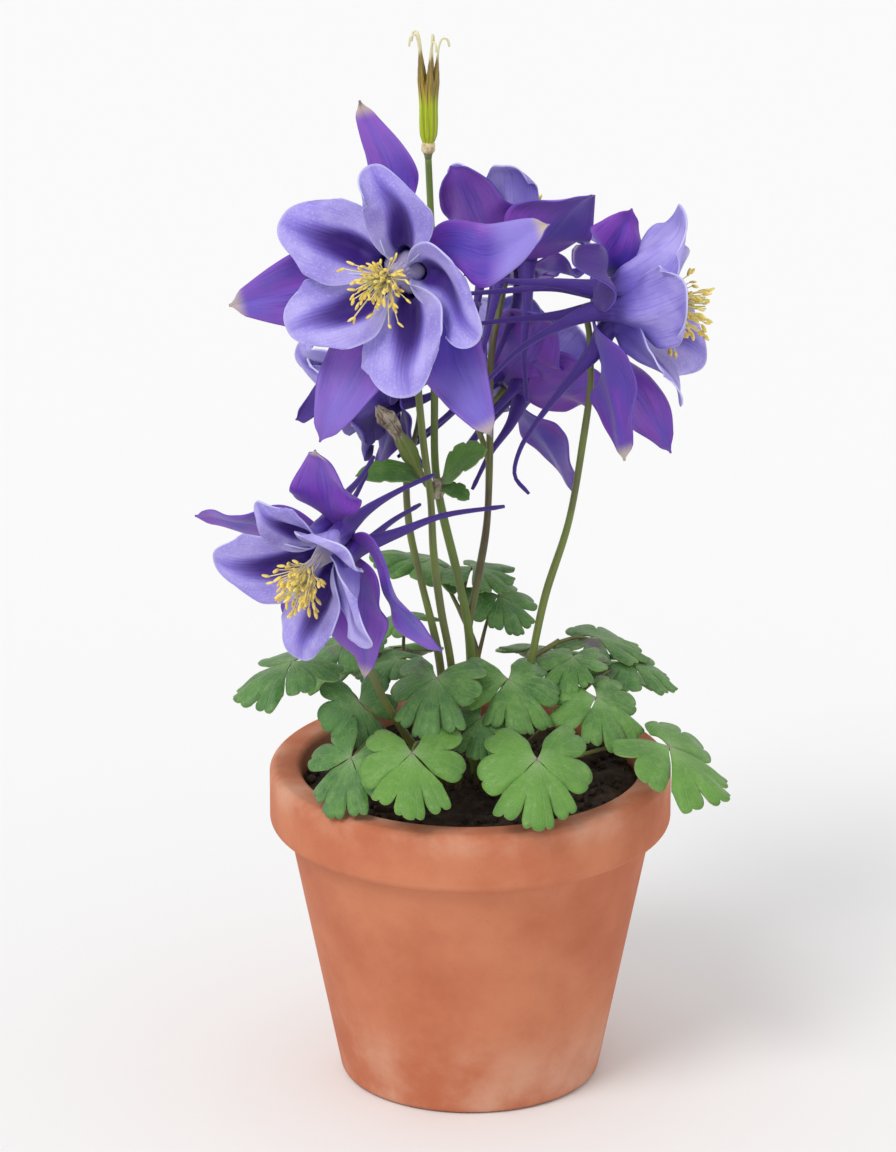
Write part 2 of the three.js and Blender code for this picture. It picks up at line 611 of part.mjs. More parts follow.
function seedHead() {
  const { at, length, radius, style } = SEED;
  const base = new THREE.Vector3(...at);
  const pod = reshape(new THREE.CylinderGeometry(1, 1, 0.8 * length, 10, 3).rotateX(PI / 2), (v) => {
    const share = v.z / (0.8 * length) + 0.5;
    const groove = 1 + 0.16 * cos(5 * Math.atan2(v.y, v.x));
    const out = radius * mix(0.62, 1, smooth(share, 0, 0.35)) * mix(1, 0.82, smooth(share, 0.6, 1));
    return new THREE.Vector3(v.x * out * groove, v.y * out * groove, share * 0.8 * length);
  });
  const pieces = [pod.translate(...at)];
  for (let i = 0; i < 5; i++) {
    const place = (out, along, aside) => spot(72 * i, out, along, aside).add(base);
    const beak = [
      place(1.5, 0.6 * length, 0), place(2.7, length, 0), place(3.2, length + 0.55 * style, 0.3),
      place(4.6, length + 0.9 * style, 1), place(6.2, length + 0.6 * style, 2),
    ];
    pieces.push(tube(beak, [[0, 1.05], [0.3, 0.8], [0.52, 0.4], [0.78, 0.38], [1, 0.4]], 4));
  }
  return fused(pieces);
}

// Pot and soil

function pot() {
  const { height, rimRadius, rimHeight, neckRadius, footRadius, wall, floor, sides } = POT;
  const shoulder = height - rimHeight;
  const mouth = neckRadius - wall;
  const profile = [
    [0, 0], [footRadius - 1, 0], [footRadius, 1],
    [neckRadius, shoulder], [rimRadius - 1, shoulder + 0.8], [rimRadius, shoulder + 2],
    [rimRadius, height - 1.4], [rimRadius - 1.4, height],
    [mouth + 1.6, height], [mouth + 0.5, height - 1.2],
    [innerRadius(shoulder), shoulder], [innerRadius(floor), floor], [0, floor],
  ];
  let shape = solid(lathed(profile, sides));
  for (let i = 0; i < DRAIN.count; i++) {
    const turn = 2 * PI * (i + 0.5) / DRAIN.count;
    const hole = new THREE.CylinderGeometry(DRAIN.radius, DRAIN.radius, 3 * floor, 12).rotateX(PI / 2);
    shape = shape.subtract(solid(hole.translate(DRAIN.ring * cos(turn), DRAIN.ring * sin(turn), 0)));
  }
  return shape;
}

// A profile of [radius, height] points, turned round Z.
function lathed(profile, sides) {
  return new THREE.LatheGeometry(profile.map((p) => new THREE.Vector2(...p)), sides).rotateX(PI / 2);
}

// The pot's inner radius at a height.
function innerRadius(z) {
  const shoulder = POT.height - POT.rimHeight;
  return mix(POT.footRadius, POT.neckRadius, min(1, z / shoulder)) - POT.wall;
}

// Soil: a plug with a crumbly top that fills the pot, with a plain hole for every stem and leaf stalk.
function soil() {
  const { level, bumps } = SOIL;
  const low = POT.floor + GAP;
  const edge = innerRadius(level) - 0.6;
  const profile = [[0, low], [innerRadius(low) - 0.6, low], [edge, level - 1], [edge - 2, level]];
  for (const out of [0.55 * edge, 0.25 * edge, 0]) profile.push([out, level]);
  const plug = lathed(profile, 18);
  reshape(plug, ({ x, y, z }) => {
    const crumbs = sin(0.31 * x + 1) * cos(0.27 * y) + 0.5 * sin(0.9 * x + 0.8 * y);
    return new THREE.Vector3(x, y, z < level - 0.5 ? z : z + bumps * crumbs * min(1, hypot(x, y) / 9));
  });
  const holes = [
    mainAxis(GAP),
    ...Object.values(STEMS).map((stem) => flowerStem(stem, GAP)),
    ...Object.values(FRONDS).map((leaf) => stalk(leaf, GAP)),
  ];
  return holes.map(solid).reduce((rest, hole) => rest.subtract(hole), solid(plug));
}

// Surfaces: colour and roughness of each kind of piece

const SURFACE = {
  clay: { color: 0xb8643f, roughness: 0.85 },
  soil: { color: 0x33261d, roughness: 1 },
  leaf: { color: 0x5c8f3f, roughness: 0.7 },
  stem: { color: 0x7d7a3c, roughness: 0.7 },
  petal: { color: 0x8583cf, roughness: 0.6 },
  sepal: { color: 0x5b3a9c, roughness: 0.6 },
  stamen: { color: 0xe8cf55, roughness: 0.7 },
  seed: { color: 0xa9b52a, roughness: 0.6 },
  bud: { color: 0x8a8a5a, roughness: 0.8 },
};

const plant = new THREE.Group();
plant.add(node("pot", pot(), SURFACE.clay));
plant.add(node("soil", soil(), SURFACE.soil));
for (const [name, bloom] of Object.entries(BLOOMS)) {
  const head = new THREE.Group();
  head.applyMatrix4(facing(direction(bloom.azimuth, bloom.elevation)).setPosition(...bloom.at));
  head.add(node(`bloom_${name}_petals`, petalsOf(bloom), SURFACE.petal));
  head.add(node(`bloom_${name}_sepals`, sepalsOf(bloom), SURFACE.sepal));
  head.add(node(`bloom_${name}_stamens`, stamensOf(bloom), SURFACE.stamen));
  plant.add(head);
}
for (const [name, stem] of Object.entries(STEMS)) {
  plant.add(node(`stem_${name}`, solid(flowerStem(stem)), SURFACE.stem));
}
plant.add(node("stem_main", mainStem(), SURFACE.stem));
plant.add(node("seed_head", seedHead(), SURFACE.seed));
plant.add(node("withered_bud", bud(), SURFACE.bud));
for (const [name, leaf] of Object.entries(FRONDS)) {
  plant.add(node(`leaf_${name}`, frond(leaf), SURFACE.leaf));
}

export default plant;
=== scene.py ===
import random
from bisect import bisect
from functools import cached_property
from math import copysign, cos, degrees, exp, pi, radians, sin, sqrt

import bmesh
import bpy
from bpy.props import FloatProperty, FloatVectorProperty, IntProperty, PointerProperty
from mathutils import Matrix, Vector, noise
from mathutils.geometry import interpolate_bezier


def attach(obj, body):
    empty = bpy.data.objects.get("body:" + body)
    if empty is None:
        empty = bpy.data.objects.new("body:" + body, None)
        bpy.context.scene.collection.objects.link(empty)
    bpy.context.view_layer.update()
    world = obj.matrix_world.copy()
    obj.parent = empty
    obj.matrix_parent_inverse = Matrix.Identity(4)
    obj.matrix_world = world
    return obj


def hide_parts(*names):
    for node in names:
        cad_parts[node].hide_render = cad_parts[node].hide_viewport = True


bl_info = {
    "name": "Potted Columbine",
    "version": (1, 0, 0),
    "blender": (4, 5, 0),
    "location": "3D View > Sidebar > Columbine",
    "description": "Models a flowering columbine in a clay pot, piece by piece",
    "category": "Add Mesh",
}

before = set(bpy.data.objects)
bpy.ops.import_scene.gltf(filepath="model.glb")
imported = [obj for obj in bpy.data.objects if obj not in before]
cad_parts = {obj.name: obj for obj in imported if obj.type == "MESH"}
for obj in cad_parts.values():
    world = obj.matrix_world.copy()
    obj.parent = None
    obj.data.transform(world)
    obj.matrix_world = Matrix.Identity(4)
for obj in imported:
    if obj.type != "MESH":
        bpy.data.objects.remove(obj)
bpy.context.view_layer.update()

# Places in the tables are in millimetres, with the origin in the middle of the pot's foot, +Z up and -Y
# towards the viewer. An azimuth of 0 points along -Y and 90 along +X; an elevation is above the horizon.
MM = 0.001

# Each bloom: its throat, the way that it faces and the turn of its first petal, counter-clockwise from its
# right as seen from its face. A list has one value for each petal or sepal: swing turns a blade round the
# bloom's axis, curve swings its end alone, lift raises it, bend moves its end along the axis, twist turns it
# over, reach is its length, span its share of the usual width, and curl rolls one corner of a petal's tip
# forward. Tone below 0 darkens petals and sepals towards the throat colour: painted shade on the blooms that
# sit in shade. A petal's own tone adds to its bloom's; pale adds to a sepal's tone and above 0 lightens its
# end, spent dries its tip and warm reddens it. A spur ends at (out from the axis, aside, along it), and one
# with a via passes through those points.
BLOOMS = {
    "front": {
        "at": (-18.3, -41.1, 239), "azimuth": -20, "elevation": 11, "turn": 10, "stamen": 1.08,
        "petal_swing": (-36, 4, 4, -14, -12), "petal_lift": (24, 26, 20, 22, 25),
        "petal_reach": (32, 32, 34, 33, 34), "petal_curl": (-2, 5, 0, 0, 0),
        "petal_curve": (0, 14, 0, 0, 0), "petal_span": (0.95, 0.78, 1, 1, 1.22),
        "sepal_swing": (-30, -19.5, 6, -14, -28), "sepal_lift": (6, 8, 8, 8, 8),
        "sepal_reach": (43, 46, 48, 50, 49), "sepal_twist": (-6, 44, 0, 8, -6),
        "sepal_curve": (7, 9, 0, 0, 0), "sepal_span": (0.84, 0.64, 1.08, 0.96, 0.92),
        "sepal_warm": (0.7, 0.5, 0.5, 0.1, -0.4),
        "spur_ends": ((13.8, 0, -46), (7, 0, -44), (13.8, 0, -46), (13.8, 0, -46), (13.8, 0, -46)),
        "sepal_pale": (1, 0.2, 0.1, 0.5, 0.4), "sepal_spent": (0.9, 0.8, 0.7, 0, 0.7),
    },
    "low": {
        # The low bloom hangs in shade: its tone of -0.12 paints that shade on it.
        "at": (-37, -44, 164.5), "azimuth": -34, "elevation": -17, "turn": 55, "stamen": 0.95, "tone": -0.12,
        "petal_swing": (-19, -4, -20, -12, -12), "petal_lift": (36, 27, 32, 32, 38),
        "petal_reach": (30, 25, 31, 31, 32), "petal_width": 0.86, "petal_span": (1, 0.66, 1, 1, 1),
        "sepal_swing": (-7, 19, 0, -24, -53), "sepal_lift": (6, 0, 4, 12, 12),
        "sepal_reach": (33.5, 46, 34, 38, 41), "sepal_twist": (0, -44, 0, 6, 30),
        "sepal_span": (0.95, 0.8, 1, 1.05, 0.76), "sepal_spent": (0.8, 0, 0, 0.7, 0),
        "sepal_warm": (1, 0.6, 0.6, 0.8, 0.2),
        "spur_ends": ((8, -7, -36), (8, 7, -38), (10, -3, -34), (12, 0, -40), (26, -3, -45)),
    },
    "right": {
        "at": (36.5, -9, 220.2), "azimuth": 93, "elevation": 2, "turn": 36, "stamen": 1.28,
        "petal_swing": (-28, -16, -20, -10, -16), "petal_lift": (44, 40, 38, 34, 46),
        "petal_reach": (33, 33, 31.5, 33, 37), "petal_span": (1, 1, 1, 1, 1.15),
        "sepal_swing": (-10, -9, 26, -12, 0), "sepal_lift": (24, 10, 8, 24, 6),
        "sepal_reach": (27.5, 33, 42, 48, 40), "sepal_bend": (0, -13, 0, 0, 0),
        "sepal_span": (1.1, 0.8, 1.08, 0.92, 1),
        "sepal_twist": (-52, 0, -46, 44, 0), "sepal_spent": (0, 1, 0.8, 0, 0.6),
        "sepal_pale": (0, -0.85, -0.2, 0, 0.3), "sepal_warm": (1, 0.6, 0.3, 0.7, 0.3),
        "spur_ends": ((10, -6, -40), (12, 0, -38), (12, 18, -36), (48.4, 0, -23.8), (12, 0, -38)),
        "spur_via": {3: ((11.8, 0, -4.5), (17, 0, -9.5), (29.6, 0, -20.6), (37, 0, -25.6), (43.7, 0, -27.2))},
        "petal_girth": (1, 1, 1, 0.85, 1),
    },
    "top": {
        "at": (11.3, 36, 222), "azimuth": 160, "elevation": 55, "turn": 24, "stamen": 0.8,
        "petal_swing": (-6, -6, 26, 0, 0), "petal_lift": (44, 40, 12, 24, 24),
        "petal_reach": (28, 27, 22, 32, 32), "petal_width": 0.78, "petal_span": (1, 0.85, 1, 1, 1),
        "sepal_swing": (-6, 5, 14, 0, 0), "sepal_lift": (36, 21, 4, 6, 10),
        "sepal_reach": (31, 40, 22, 40, 42), "sepal_span": (1.25, 1.14, 0.9, 1, 1),
        "sepal_twist": (42, 18, 0, 0, 0), "sepal_spent": (0, 0, 0, 0, 0),
        "sepal_pale": (-0.4, 0.3, 0, 0, 0), "sepal_warm": (1, 1, 0.5, 0.5, 0.5),
        "spur_ends": ((6, 0, -34), (12, 0, -43), (14, 0, -43), (5, 7, -40), (6, 0, -34)),
    },
    "left": {
        # The left bloom sits deep in shade behind the front one: its tone of -1 paints that shade, and its
        # petal tone lessens it on two petals.
        "at": (-25, 18, 187), "azimuth": -75, "elevation": -20, "turn": 0, "tone": -1, "stamen": 0.45,
        "petal_lift": (34, 40, 34, 34, 34), "petal_reach": (22, 24, 27, 21, 19),
        "petal_span": (0.7, 0.8, 0.75, 0.55, 0.55), "petal_tone": (0, 0.8, 0.8, 0, 0),
        "sepal_swing": (0, 0, 0, 0, -24), "sepal_lift": (2, 6, 46, 22, 4),
        "sepal_reach": (28, 34, 35, 31, 24),
        "sepal_curve": (0, 0, 18, 0, 0), "sepal_span": (0.8, 0.8, 0.46, 0.72, 0.7),
        "sepal_pale": (0, 0, 0.15, 0.4, -0.2), "spur_ends": ((7.8, 0, -26),) * 5,
    },
    "back": {
        # The back bloom's tone of -0.1 paints a little shade on it.
        "at": (12.5, 41, 184), "azimuth": 136, "elevation": 31, "turn": 82, "tone": -0.1,
        "petal_swing": (0, -8, -18, 0, 0), "petal_lift": (40, 30, 30, 30, 30),
        "petal_reach": (22, 26, 25, 30, 30), "sepal_swing": (10, -18, -9, 0, 0),
        "sepal_lift": (12, 12, -4, 4, 4), "sepal_reach": (36, 33, 37, 36, 34),
        "sepal_span": (1.15, 1, 0.72, 1, 1), "sepal_pale": (-0.1, 0.2, 0.6, 0.3, 0.3),
        "sepal_warm": (1, 0.7, 0.1, 0.3, 0.3),
        "spur_ends": ((11, 0, -36), (7, 0, -22), (11, 0, -34), (12, 0, -38), (12, 0, -38)),
    },
}

# The pot's wall, from the middle of its foot up the outside, over the rim and down the inside: (out, up).
POT = ((0, 0), (34, 0), (35, 1), (49, 71), (53, 71.8), (54, 73), (54, 86.6), (52.6, 88),
       (46.6, 88), (45.5, 86.8), (45, 71), (31.99, 5), (0, 5))
DRAINS = {"count": 3, "out": 18, "radius": 4}

# Flower stems: the foot in the soil, the points that each passes, and its bloom.
SOIL_LEVEL = 83
STEMS = {
    "front": {
        "foot": (-2.8, -4.8), "to": "front",
        "via": ((-5.2, -5, 118), (-7.9, -6, 134), (-9.8, -7, 150),
                (-10.6, -8, 166), (-12.6, -9.5, 183), (-14, -12, 203)),
    },
    "low": {
        "foot": (-7.4, -7), "to": "low",
        "via": ((-14.4, -17, 98), (-25, -30, 122), (-32.5, -31.5, 146), (-31, -26.5, 164)),
    },
    "right": {
        "foot": (5.8, -2.4), "to": "right", "neck": 6.4,
        "via": ((11.4, -3, 94), (16, -3, 117), (20, -3, 137), (26, -2, 157),
                (29.6, -2, 179), (31.6, -1.8, 196), (31.2, -3.4, 210)),
    },
    "left": {
        "foot": (-5.8, 3.8), "to": "left", "neck": 10,
        "via": ((-8.4, 10, 114), (-13.6, 15, 136), (-16.4, 18, 149), (-17, 22, 163), (-13.5, 26, 178)),
    },
}
MAIN = {
    "foot": (1.4, 0), "via": ((0.6, 1, 106), (-0.6, 2, 126)),
    "seed": ((-3.4, 3.6, 140), (-9, 5.5, 166), (-9.6, 7, 192), (-9.8, 10, 222), (-10.6, 12, 240)),
    "top": ((2.4, 8, 140), (4.4, 12, 152), (5.2, 16, 175), (5.6, 20, 197)),
    "back": ((5, 15, 168), (3.4, 20, 172), (1.6, 25.5, 176)),
}
SEED = {"at": (-11.2, 12, 254), "foot": 4, "length": 23.6, "style": 6}
BUD = {"node": (-8.8, 5.4, 163), "base": (-12.7, 0.5, 168.5), "tip": (-24.5, -1.5, 189), "radius": 3}

# Small stem leaves: from, to, width, how near to its tip each is broadest, teeth and greenness.
BRACTS = (
    ((-11.5, 3.4, 167.6), (-30.5, -5, 171.2), 7.4, 0.95, 3, 0.25),
    ((-7.6, 4, 166), (4.4, -3, 178), 10.6, 1.25, 4, 0.55),
    ((-8.2, 4.2, 164.2), (-0.3, -1.5, 163.4), 4.6, 1.3, 3, 0.3),
)

# Compound basal leaves: the foot, the forks of the stalk and the leaf groups. A group is three leaflets that
# meet at its first point: (point, azimuth of the middle leaflet, droop, length, fork, greenness). Greenness
# runs from -1, dark and bluish, to 1, fresh and yellowish.
FRONDS = {
    "front_left": {"foot": (-3.2, -9.4), "forks": ((-13, -24, 103),), "groups": (
        ((-15.4, -42, 107), 0, 34, 18.2, 0, 0.7),
    )},
    "left": {"foot": (-9.4, -2.4), "forks": ((-22.5, -16, 102.5), (-33.5, -12, 113.4)), "groups": (
        ((-31.5, -34, 102.5), -38, 48, 17, 0, -0.4),
        ((-47.4, -14, 122), -70, 18, 17, 1, -0.5),
        ((-29.8, -20, 113), 10, 50, 13, 1, -0.9),
    )},
    "front_right": {"foot": (3.4, -9), "forks": ((10, -26, 100),), "groups": (
        ((17.4, -43, 105.5), 4, 34, 19.6, 0, 0.5),
    )},
    "far_right": {"foot": (9.2, -5.2), "forks": ((30, -16, 96.5),), "groups": (
        ((52.5, -28, 103.4), 55, 26, 20, 0, 0.4),
    )},
    "right": {"foot": (9.6, 1.2), "forks": ((22, -3, 101), (26.5, -5, 107)), "groups": (
        ((33.5, -13, 111.5), 30, 26, 16, 1, 0.2),
        ((27.5, -1, 118.5), -10, 10, 12, 1, 0.0),
        ((43, 12, 112), 80, 12, 14, 1, -0.2),
    )},
    "middle": {"foot": (3.4, 6.4), "forks": ((14, 8, 112), (24, 13, 118)), "groups": (
        ((34, 18, 117), 80, 10, 15, 1, -0.2),
        ((17.5, 24, 112), 150, 14, 13, 0, -0.3),
    )},
    "centre": {"foot": (1.6, -5), "forks": ((5.4, -9, 104),), "groups": (
        ((10, -15, 117.5), 15, 26, 17, 0, 0.1),
        ((2.8, -23, 109.5), -15, 34, 11, 0, -0.6),
    )},
    "centre_left": {"foot": (-5.4, -8.4), "forks": ((-9.5, -17, 106),), "groups": (
        ((-9, -23, 121), -14, 24, 17, 0, -0.3),
        ((-19.5, -4, 119), -70, 8, 12, 0, -0.5),
    )},
    "behind": {"foot": (0.4, 8.8), "forks": ((2, 17, 112), (-3, 22, 124)), "groups": (
        ((7.5, 21, 128), 35, 24, 13, 0, -0.5),
        ((-11, 31, 134.5), -80, -20, 15, 1, 0.0),
        ((0.5, 27, 134), 40, 0, 14, 1, -0.2),
    )},
    "behind_left": {"foot": (-7, 7.2), "forks": ((-18, 11, 110),), "groups": (
        ((-33, 8, 120), -70, 20, 15, 0, -0.4),
        ((-18.5, 17, 123), -120, 10, 14, 0, -0.1),
    )},
    "rear_left": {"foot": (-4, 10.8), "forks": ((-14, 26, 102),), "groups": (
        ((-22, 40, 106), -150, 28, 18, 0, 0.2),
        ((-32, 24, 108), -105, 22, 15, 0, 0.0),
    )},
    "rear_right": {"foot": (5.2, 10.4), "forks": ((14, 25, 101),), "groups": (
        ((22, 41, 105.5), 148, 28, 18, 0, 0.3),
        ((36, 27, 107), 108, 22, 16, 0, 0.0),
    )},
}


# Numbers and lines


def mix(low, high, share):
    return low + (high - low) * share


def smooth(value, low, high):
    """0 below low, 1 above high, and an even S between them."""
    share = min(1.0, max(0.0, (value - low) / (high - low)))
    return share * share * (3 - 2 * share)


def direction(azimuth, elevation):
    a, e = radians(azimuth), radians(elevation)
    return Vector((sin(a) * cos(e), -cos(a) * cos(e), sin(e)))


def frame_matrix(right, up, out, at):
    """The matrix that places local X, Y and Z along three directions."""
    matrix = Matrix((right, up, out)).transposed().to_4x4()
    matrix.translation = Vector(at)
    return matrix


def bloom_matrix(bloom):
    axis = direction(bloom["azimuth"], bloom["elevation"])
    right = Vector((0, 0, 1)).cross(axis).normalized()
    return frame_matrix(right, axis.cross(right), axis, bloom["at"])


def spot(turn, out, along, aside=0.0):
    """A place in a bloom: out from its axis and along it, at a turn in degrees, moved aside round it."""
    t = radians(turn)
    return Vector((out * cos(t) - aside * sin(t), out * sin(t) + aside * cos(t), along))


class Route:
    """A smooth line through points, walked by shares of its length."""

    FINE = 14

    def __init__(self, points, side=None):
        points = [Vector(p) for p in points]
        ends = [2 * points[0] - points[1], *points, 2 * points[-1] - points[-2]]
        self.places = [points[0]]
        for before, start, stop, after in zip(ends, ends[1:], ends[2:], ends[3:]):
            lead, own, rest = (sqrt((b - a).length) for a, b in
                               ((before, start), (start, stop), (stop, after)))
            leaving = ((start - before) / lead - (stop - before) / (lead + own) + (stop - start) / own) * own
            coming = ((stop - start) / own - (after - start) / (own + rest) + (after - stop) / rest) * own
            self.places += interpolate_bezier(
                start, start + leaving / 3, stop - coming / 3, stop, self.FINE + 1)[1:]
        self.lengths = [0.0]
        for a, b in zip(self.places, self.places[1:]):
            self.lengths.append(self.lengths[-1] + (b - a).length)
        self.ways = [(b - a).normalized() for a, b in zip(self.places, self.places[1:])]
        self.ways.append(self.ways[-1])
        side = self.ways[0].orthogonal() if side is None else Vector(side)
        self.sides = []
        for way in self.ways:
            side = (side - way * side.dot(way)).normalized()
            self.sides.append(side)

    def at(self, share):
        """The place, the way on and a side direction at a share of the length."""
        length = min(1.0, max(0.0, share)) * self.lengths[-1]
        i = min(len(self.places) - 2, max(0, bisect(self.lengths, length) - 1))
        t = (length - self.lengths[i]) / (self.lengths[i + 1] - self.lengths[i])
        way = self.ways[i].lerp(self.ways[i + 1], t).normalized()
        side = self.sides[i].lerp(self.sides[i + 1], t)
        return self.places[i].lerp(self.places[i + 1], t), way, (side - way * side.dot(way)).normalized()


# Mesh making


def new_mesh():
    bm = bmesh.new()
    bm.loops.layers.uv.new("shape")
    for mark in ("tone", "spent", "warm"):
        bm.verts.layers.float.new(mark)
    return bm


def skin(bm, columns, rows, place, **marks):
    """Adds a grid and moves each of its corners to place(column share, row), which also gives its UV."""
    made = bmesh.ops.create_grid(bm, x_segments=columns, y_segments=rows, size=1)["verts"]
    uv = bm.loops.layers.uv["shape"]
    marks = [(bm.verts.layers.float[name], value) for name, value in marks.items()]
    spots = {}
    for i, vert in enumerate(made):
        row, column = divmod(i, columns + 1)
        vert.co, spots[vert] = place(column / columns, row)
        for mark, value in marks:
            vert[mark] = value
    for face in {face for vert in made for face in vert.link_faces}:
        for loop in face.loops:
            loop[uv].uv = spots[loop.vert]
    return made


def close(bm, made, distance=1e-4):
    """Joins the seam and the poles of a grid."""
    bmesh.ops.remove_doubles(bm, verts=made, dist=distance)


def sweep(bm, route, sections, sides, tone=0.0, ridge=0.0, ridges=5):
    """A closed round tube along a route. sections lists [share of its length, radius]."""
    rows = [(sections[0][0], 0.0), *sections, (sections[-1][0], 0.0)]

    def place(around, row):
        share, radius = rows[row]
        centre, way, side = route.at(share)
        angle = 2 * pi * around
        out = side * cos(angle) + way.cross(side) * sin(angle)
        return centre + out * radius * (1 + ridge * cos(ridges * angle)), (around, share)

    close(bm, skin(bm, sides, len(rows) - 1, place, tone=tone))


def taper(start, stop, steps):
    return [(i / steps, mix(start, stop, i / steps)) for i in range(steps + 1)]


def between(profile, share):
    """The two sizes round a share of a profile, and how far the share is from the first to the second."""
    low = max(j for j in range(len(profile) - 1) if share >= profile[j][0] or j == 0)
    (start, size), (stop, next_size) = profile[low], profile[low + 1]
    return size, next_size, (share - start) / (stop - start)


def finer(profile, parts, ease=lambda share: share):
    """A profile with more sections between its own."""
    return [(mix(s0, s1, k / parts), mix(r0, r1, ease(k / parts)))
            for (s0, r0), (s1, r1) in zip(profile, profile[1:]) for k in range(parts)] + [profile[-1]]


def paint(bm, start, material):
    """Gives the faces made since the start another material."""
    bm.faces.ensure_lookup_table()
    for face in bm.faces[start:]:
        face.material_index = material


def finish(bm, name, materials, slot, nodes):
    """Turns a mesh in millimetres into a piece that stands for CAD nodes."""
    bmesh.ops.transform(bm, matrix=Matrix.Scale(MM, 4), verts=bm.verts)
    mesh = bpy.data.meshes.new(name)
    bm.to_mesh(mesh)
    bm.free()
    for material in materials:
        mesh.materials.append(material)
    mesh.shade_smooth()
    piece = bpy.data.objects.new(name, mesh)
    bpy.context.scene.collection.objects.link(piece)
    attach(piece, "root")
    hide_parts(*nodes)
    return piece


def thicken(piece, thickness):
    """Gives an open sheet its thickness, with its back and its rim in the next materials."""
    wall = piece.modifiers.new("Blade", "SOLIDIFY")
    wall.thickness = thickness
    wall.offset = 0
    wall.material_offset = 1
    wall.material_offset_rim = 2


# Materials


def rgb(red, green, blue):
    """A colour as a picture shows it, from 0 to 255, as Blender's linear values."""
    def linear(value):
        value /= 255
        return value / 12.92 if value <= 0.04045 else ((value + 0.055) / 1.055) ** 2.4
    return (linear(red), linear(green), linear(blue), 1.0)


class Value:
    """The output of a node. Arithmetic with it adds Math nodes."""

    def __init__(self, finish, socket):
        self.finish, self.socket = finish, socket

    def __add__(self, other):
        return self.finish.math("ADD", self, other)

    def __sub__(self, other):
        return self.finish.math("SUBTRACT", self, other)

    def __rsub__(self, other):
        return self.finish.math("SUBTRACT", other, self)

    def __mul__(self, other):
        return self.finish.math("MULTIPLY", self, other)

    def __abs__(self):
        return self.finish.math("ABSOLUTE", self)

    def step(self, low, high):
        """0 to 1 as the value goes from low to high; the other way round where low is the larger."""
        flip = low > high
        inputs = {0: self, 1: min(low, high), 2: max(low, high), 3: float(flip), 4: float(not flip)}
        return self.finish.add("ShaderNodeMapRange", inputs, interpolation_type="SMOOTHSTEP")


class Finish:
    """A material under construction: its shader, its colour so far and short ways to add nodes."""

    def __init__(self, name, base, roughness, **sockets):
        self.material = bpy.data.materials.new(name)
        self.material.use_nodes = True
        self.tree = self.material.node_tree
        self.shader = self.tree.nodes["Principled BSDF"]
        self.base = base
        for socket, value in {"Roughness": roughness, **sockets}.items():
            self.shader.inputs[socket.replace("_", " ")].default_value = value

    def shape(self, axis):
        """One of the piece's own two coordinates."""
        return self.add("ShaderNodeSeparateXYZ", {0: self.add("ShaderNodeUVMap", uv_map="shape")}, axis)

    @cached_property
    def across(self):
        return self.shape(0)

    @cached_property
    def along(self):
        return self.shape(1)

    def set(self, socket, value):
        if isinstance(value, Value):
            self.tree.links.new(value.socket, socket)
        else:
            socket.default_value = value

    def add(self, kind, inputs=(), output=0, **settings):
        node = self.tree.nodes.new(kind)
        for name, value in settings.items():
            setattr(node, name, value)
        for key, value in dict(inputs).items():
            self.set(node.inputs[key], value)
        return Value(self, node.outputs[output])

    def math(self, operation, a, b=0.0):
        return self.add("ShaderNodeMath", {0: a, 1: b}, operation=operation)

    def mix(self, factor, a, b):
        return self.add("ShaderNodeMix", {0: factor, 6: a, 7: b}, 2, data_type="RGBA")

    def place(self):
        return self.add("ShaderNodeTexCoord", output=3)

    def mark(self, name):
        """A value that the mesh holds at its points."""
        return self.add("ShaderNodeAttribute", output=2, attribute_name=name)

    def noise(self, scale, detail=3.0, roughness=0.55, distortion=0.0, at=None):
        return self.add("ShaderNodeTexNoise", {
            "Vector": at or self.place(), "Scale": scale, "Detail": detail,
            "Roughness": roughness, "Distortion": distortion})

    def streaks(self, across, along, detail, roughness=0.55):
        """Noise in the piece's own coordinates, drawn out along it."""
        at = self.add("ShaderNodeCombineXYZ", {0: self.across * across, 1: self.along * along})
        return self.noise(1.0, detail, roughness, at=at)

    def over(self, colour, mask):
        """Lays a colour over the colour so far."""
        self.base = self.mix(mask, self.base, colour)

    def done(self, height=None, strength=1.0, distance=1.0):
        """Gives the shader its colour and its bump."""
        self.set(self.shader.inputs["Base Color"], self.base)
        if height:
            self.set(self.shader.inputs["Normal"], self.add("ShaderNodeBump", {
                "Height": height, "Strength": strength, "Distance": distance * MM}))
        return self.material


VELVET = {"Sheen_Weight": 0.14, "Sheen_Roughness": 0.4}


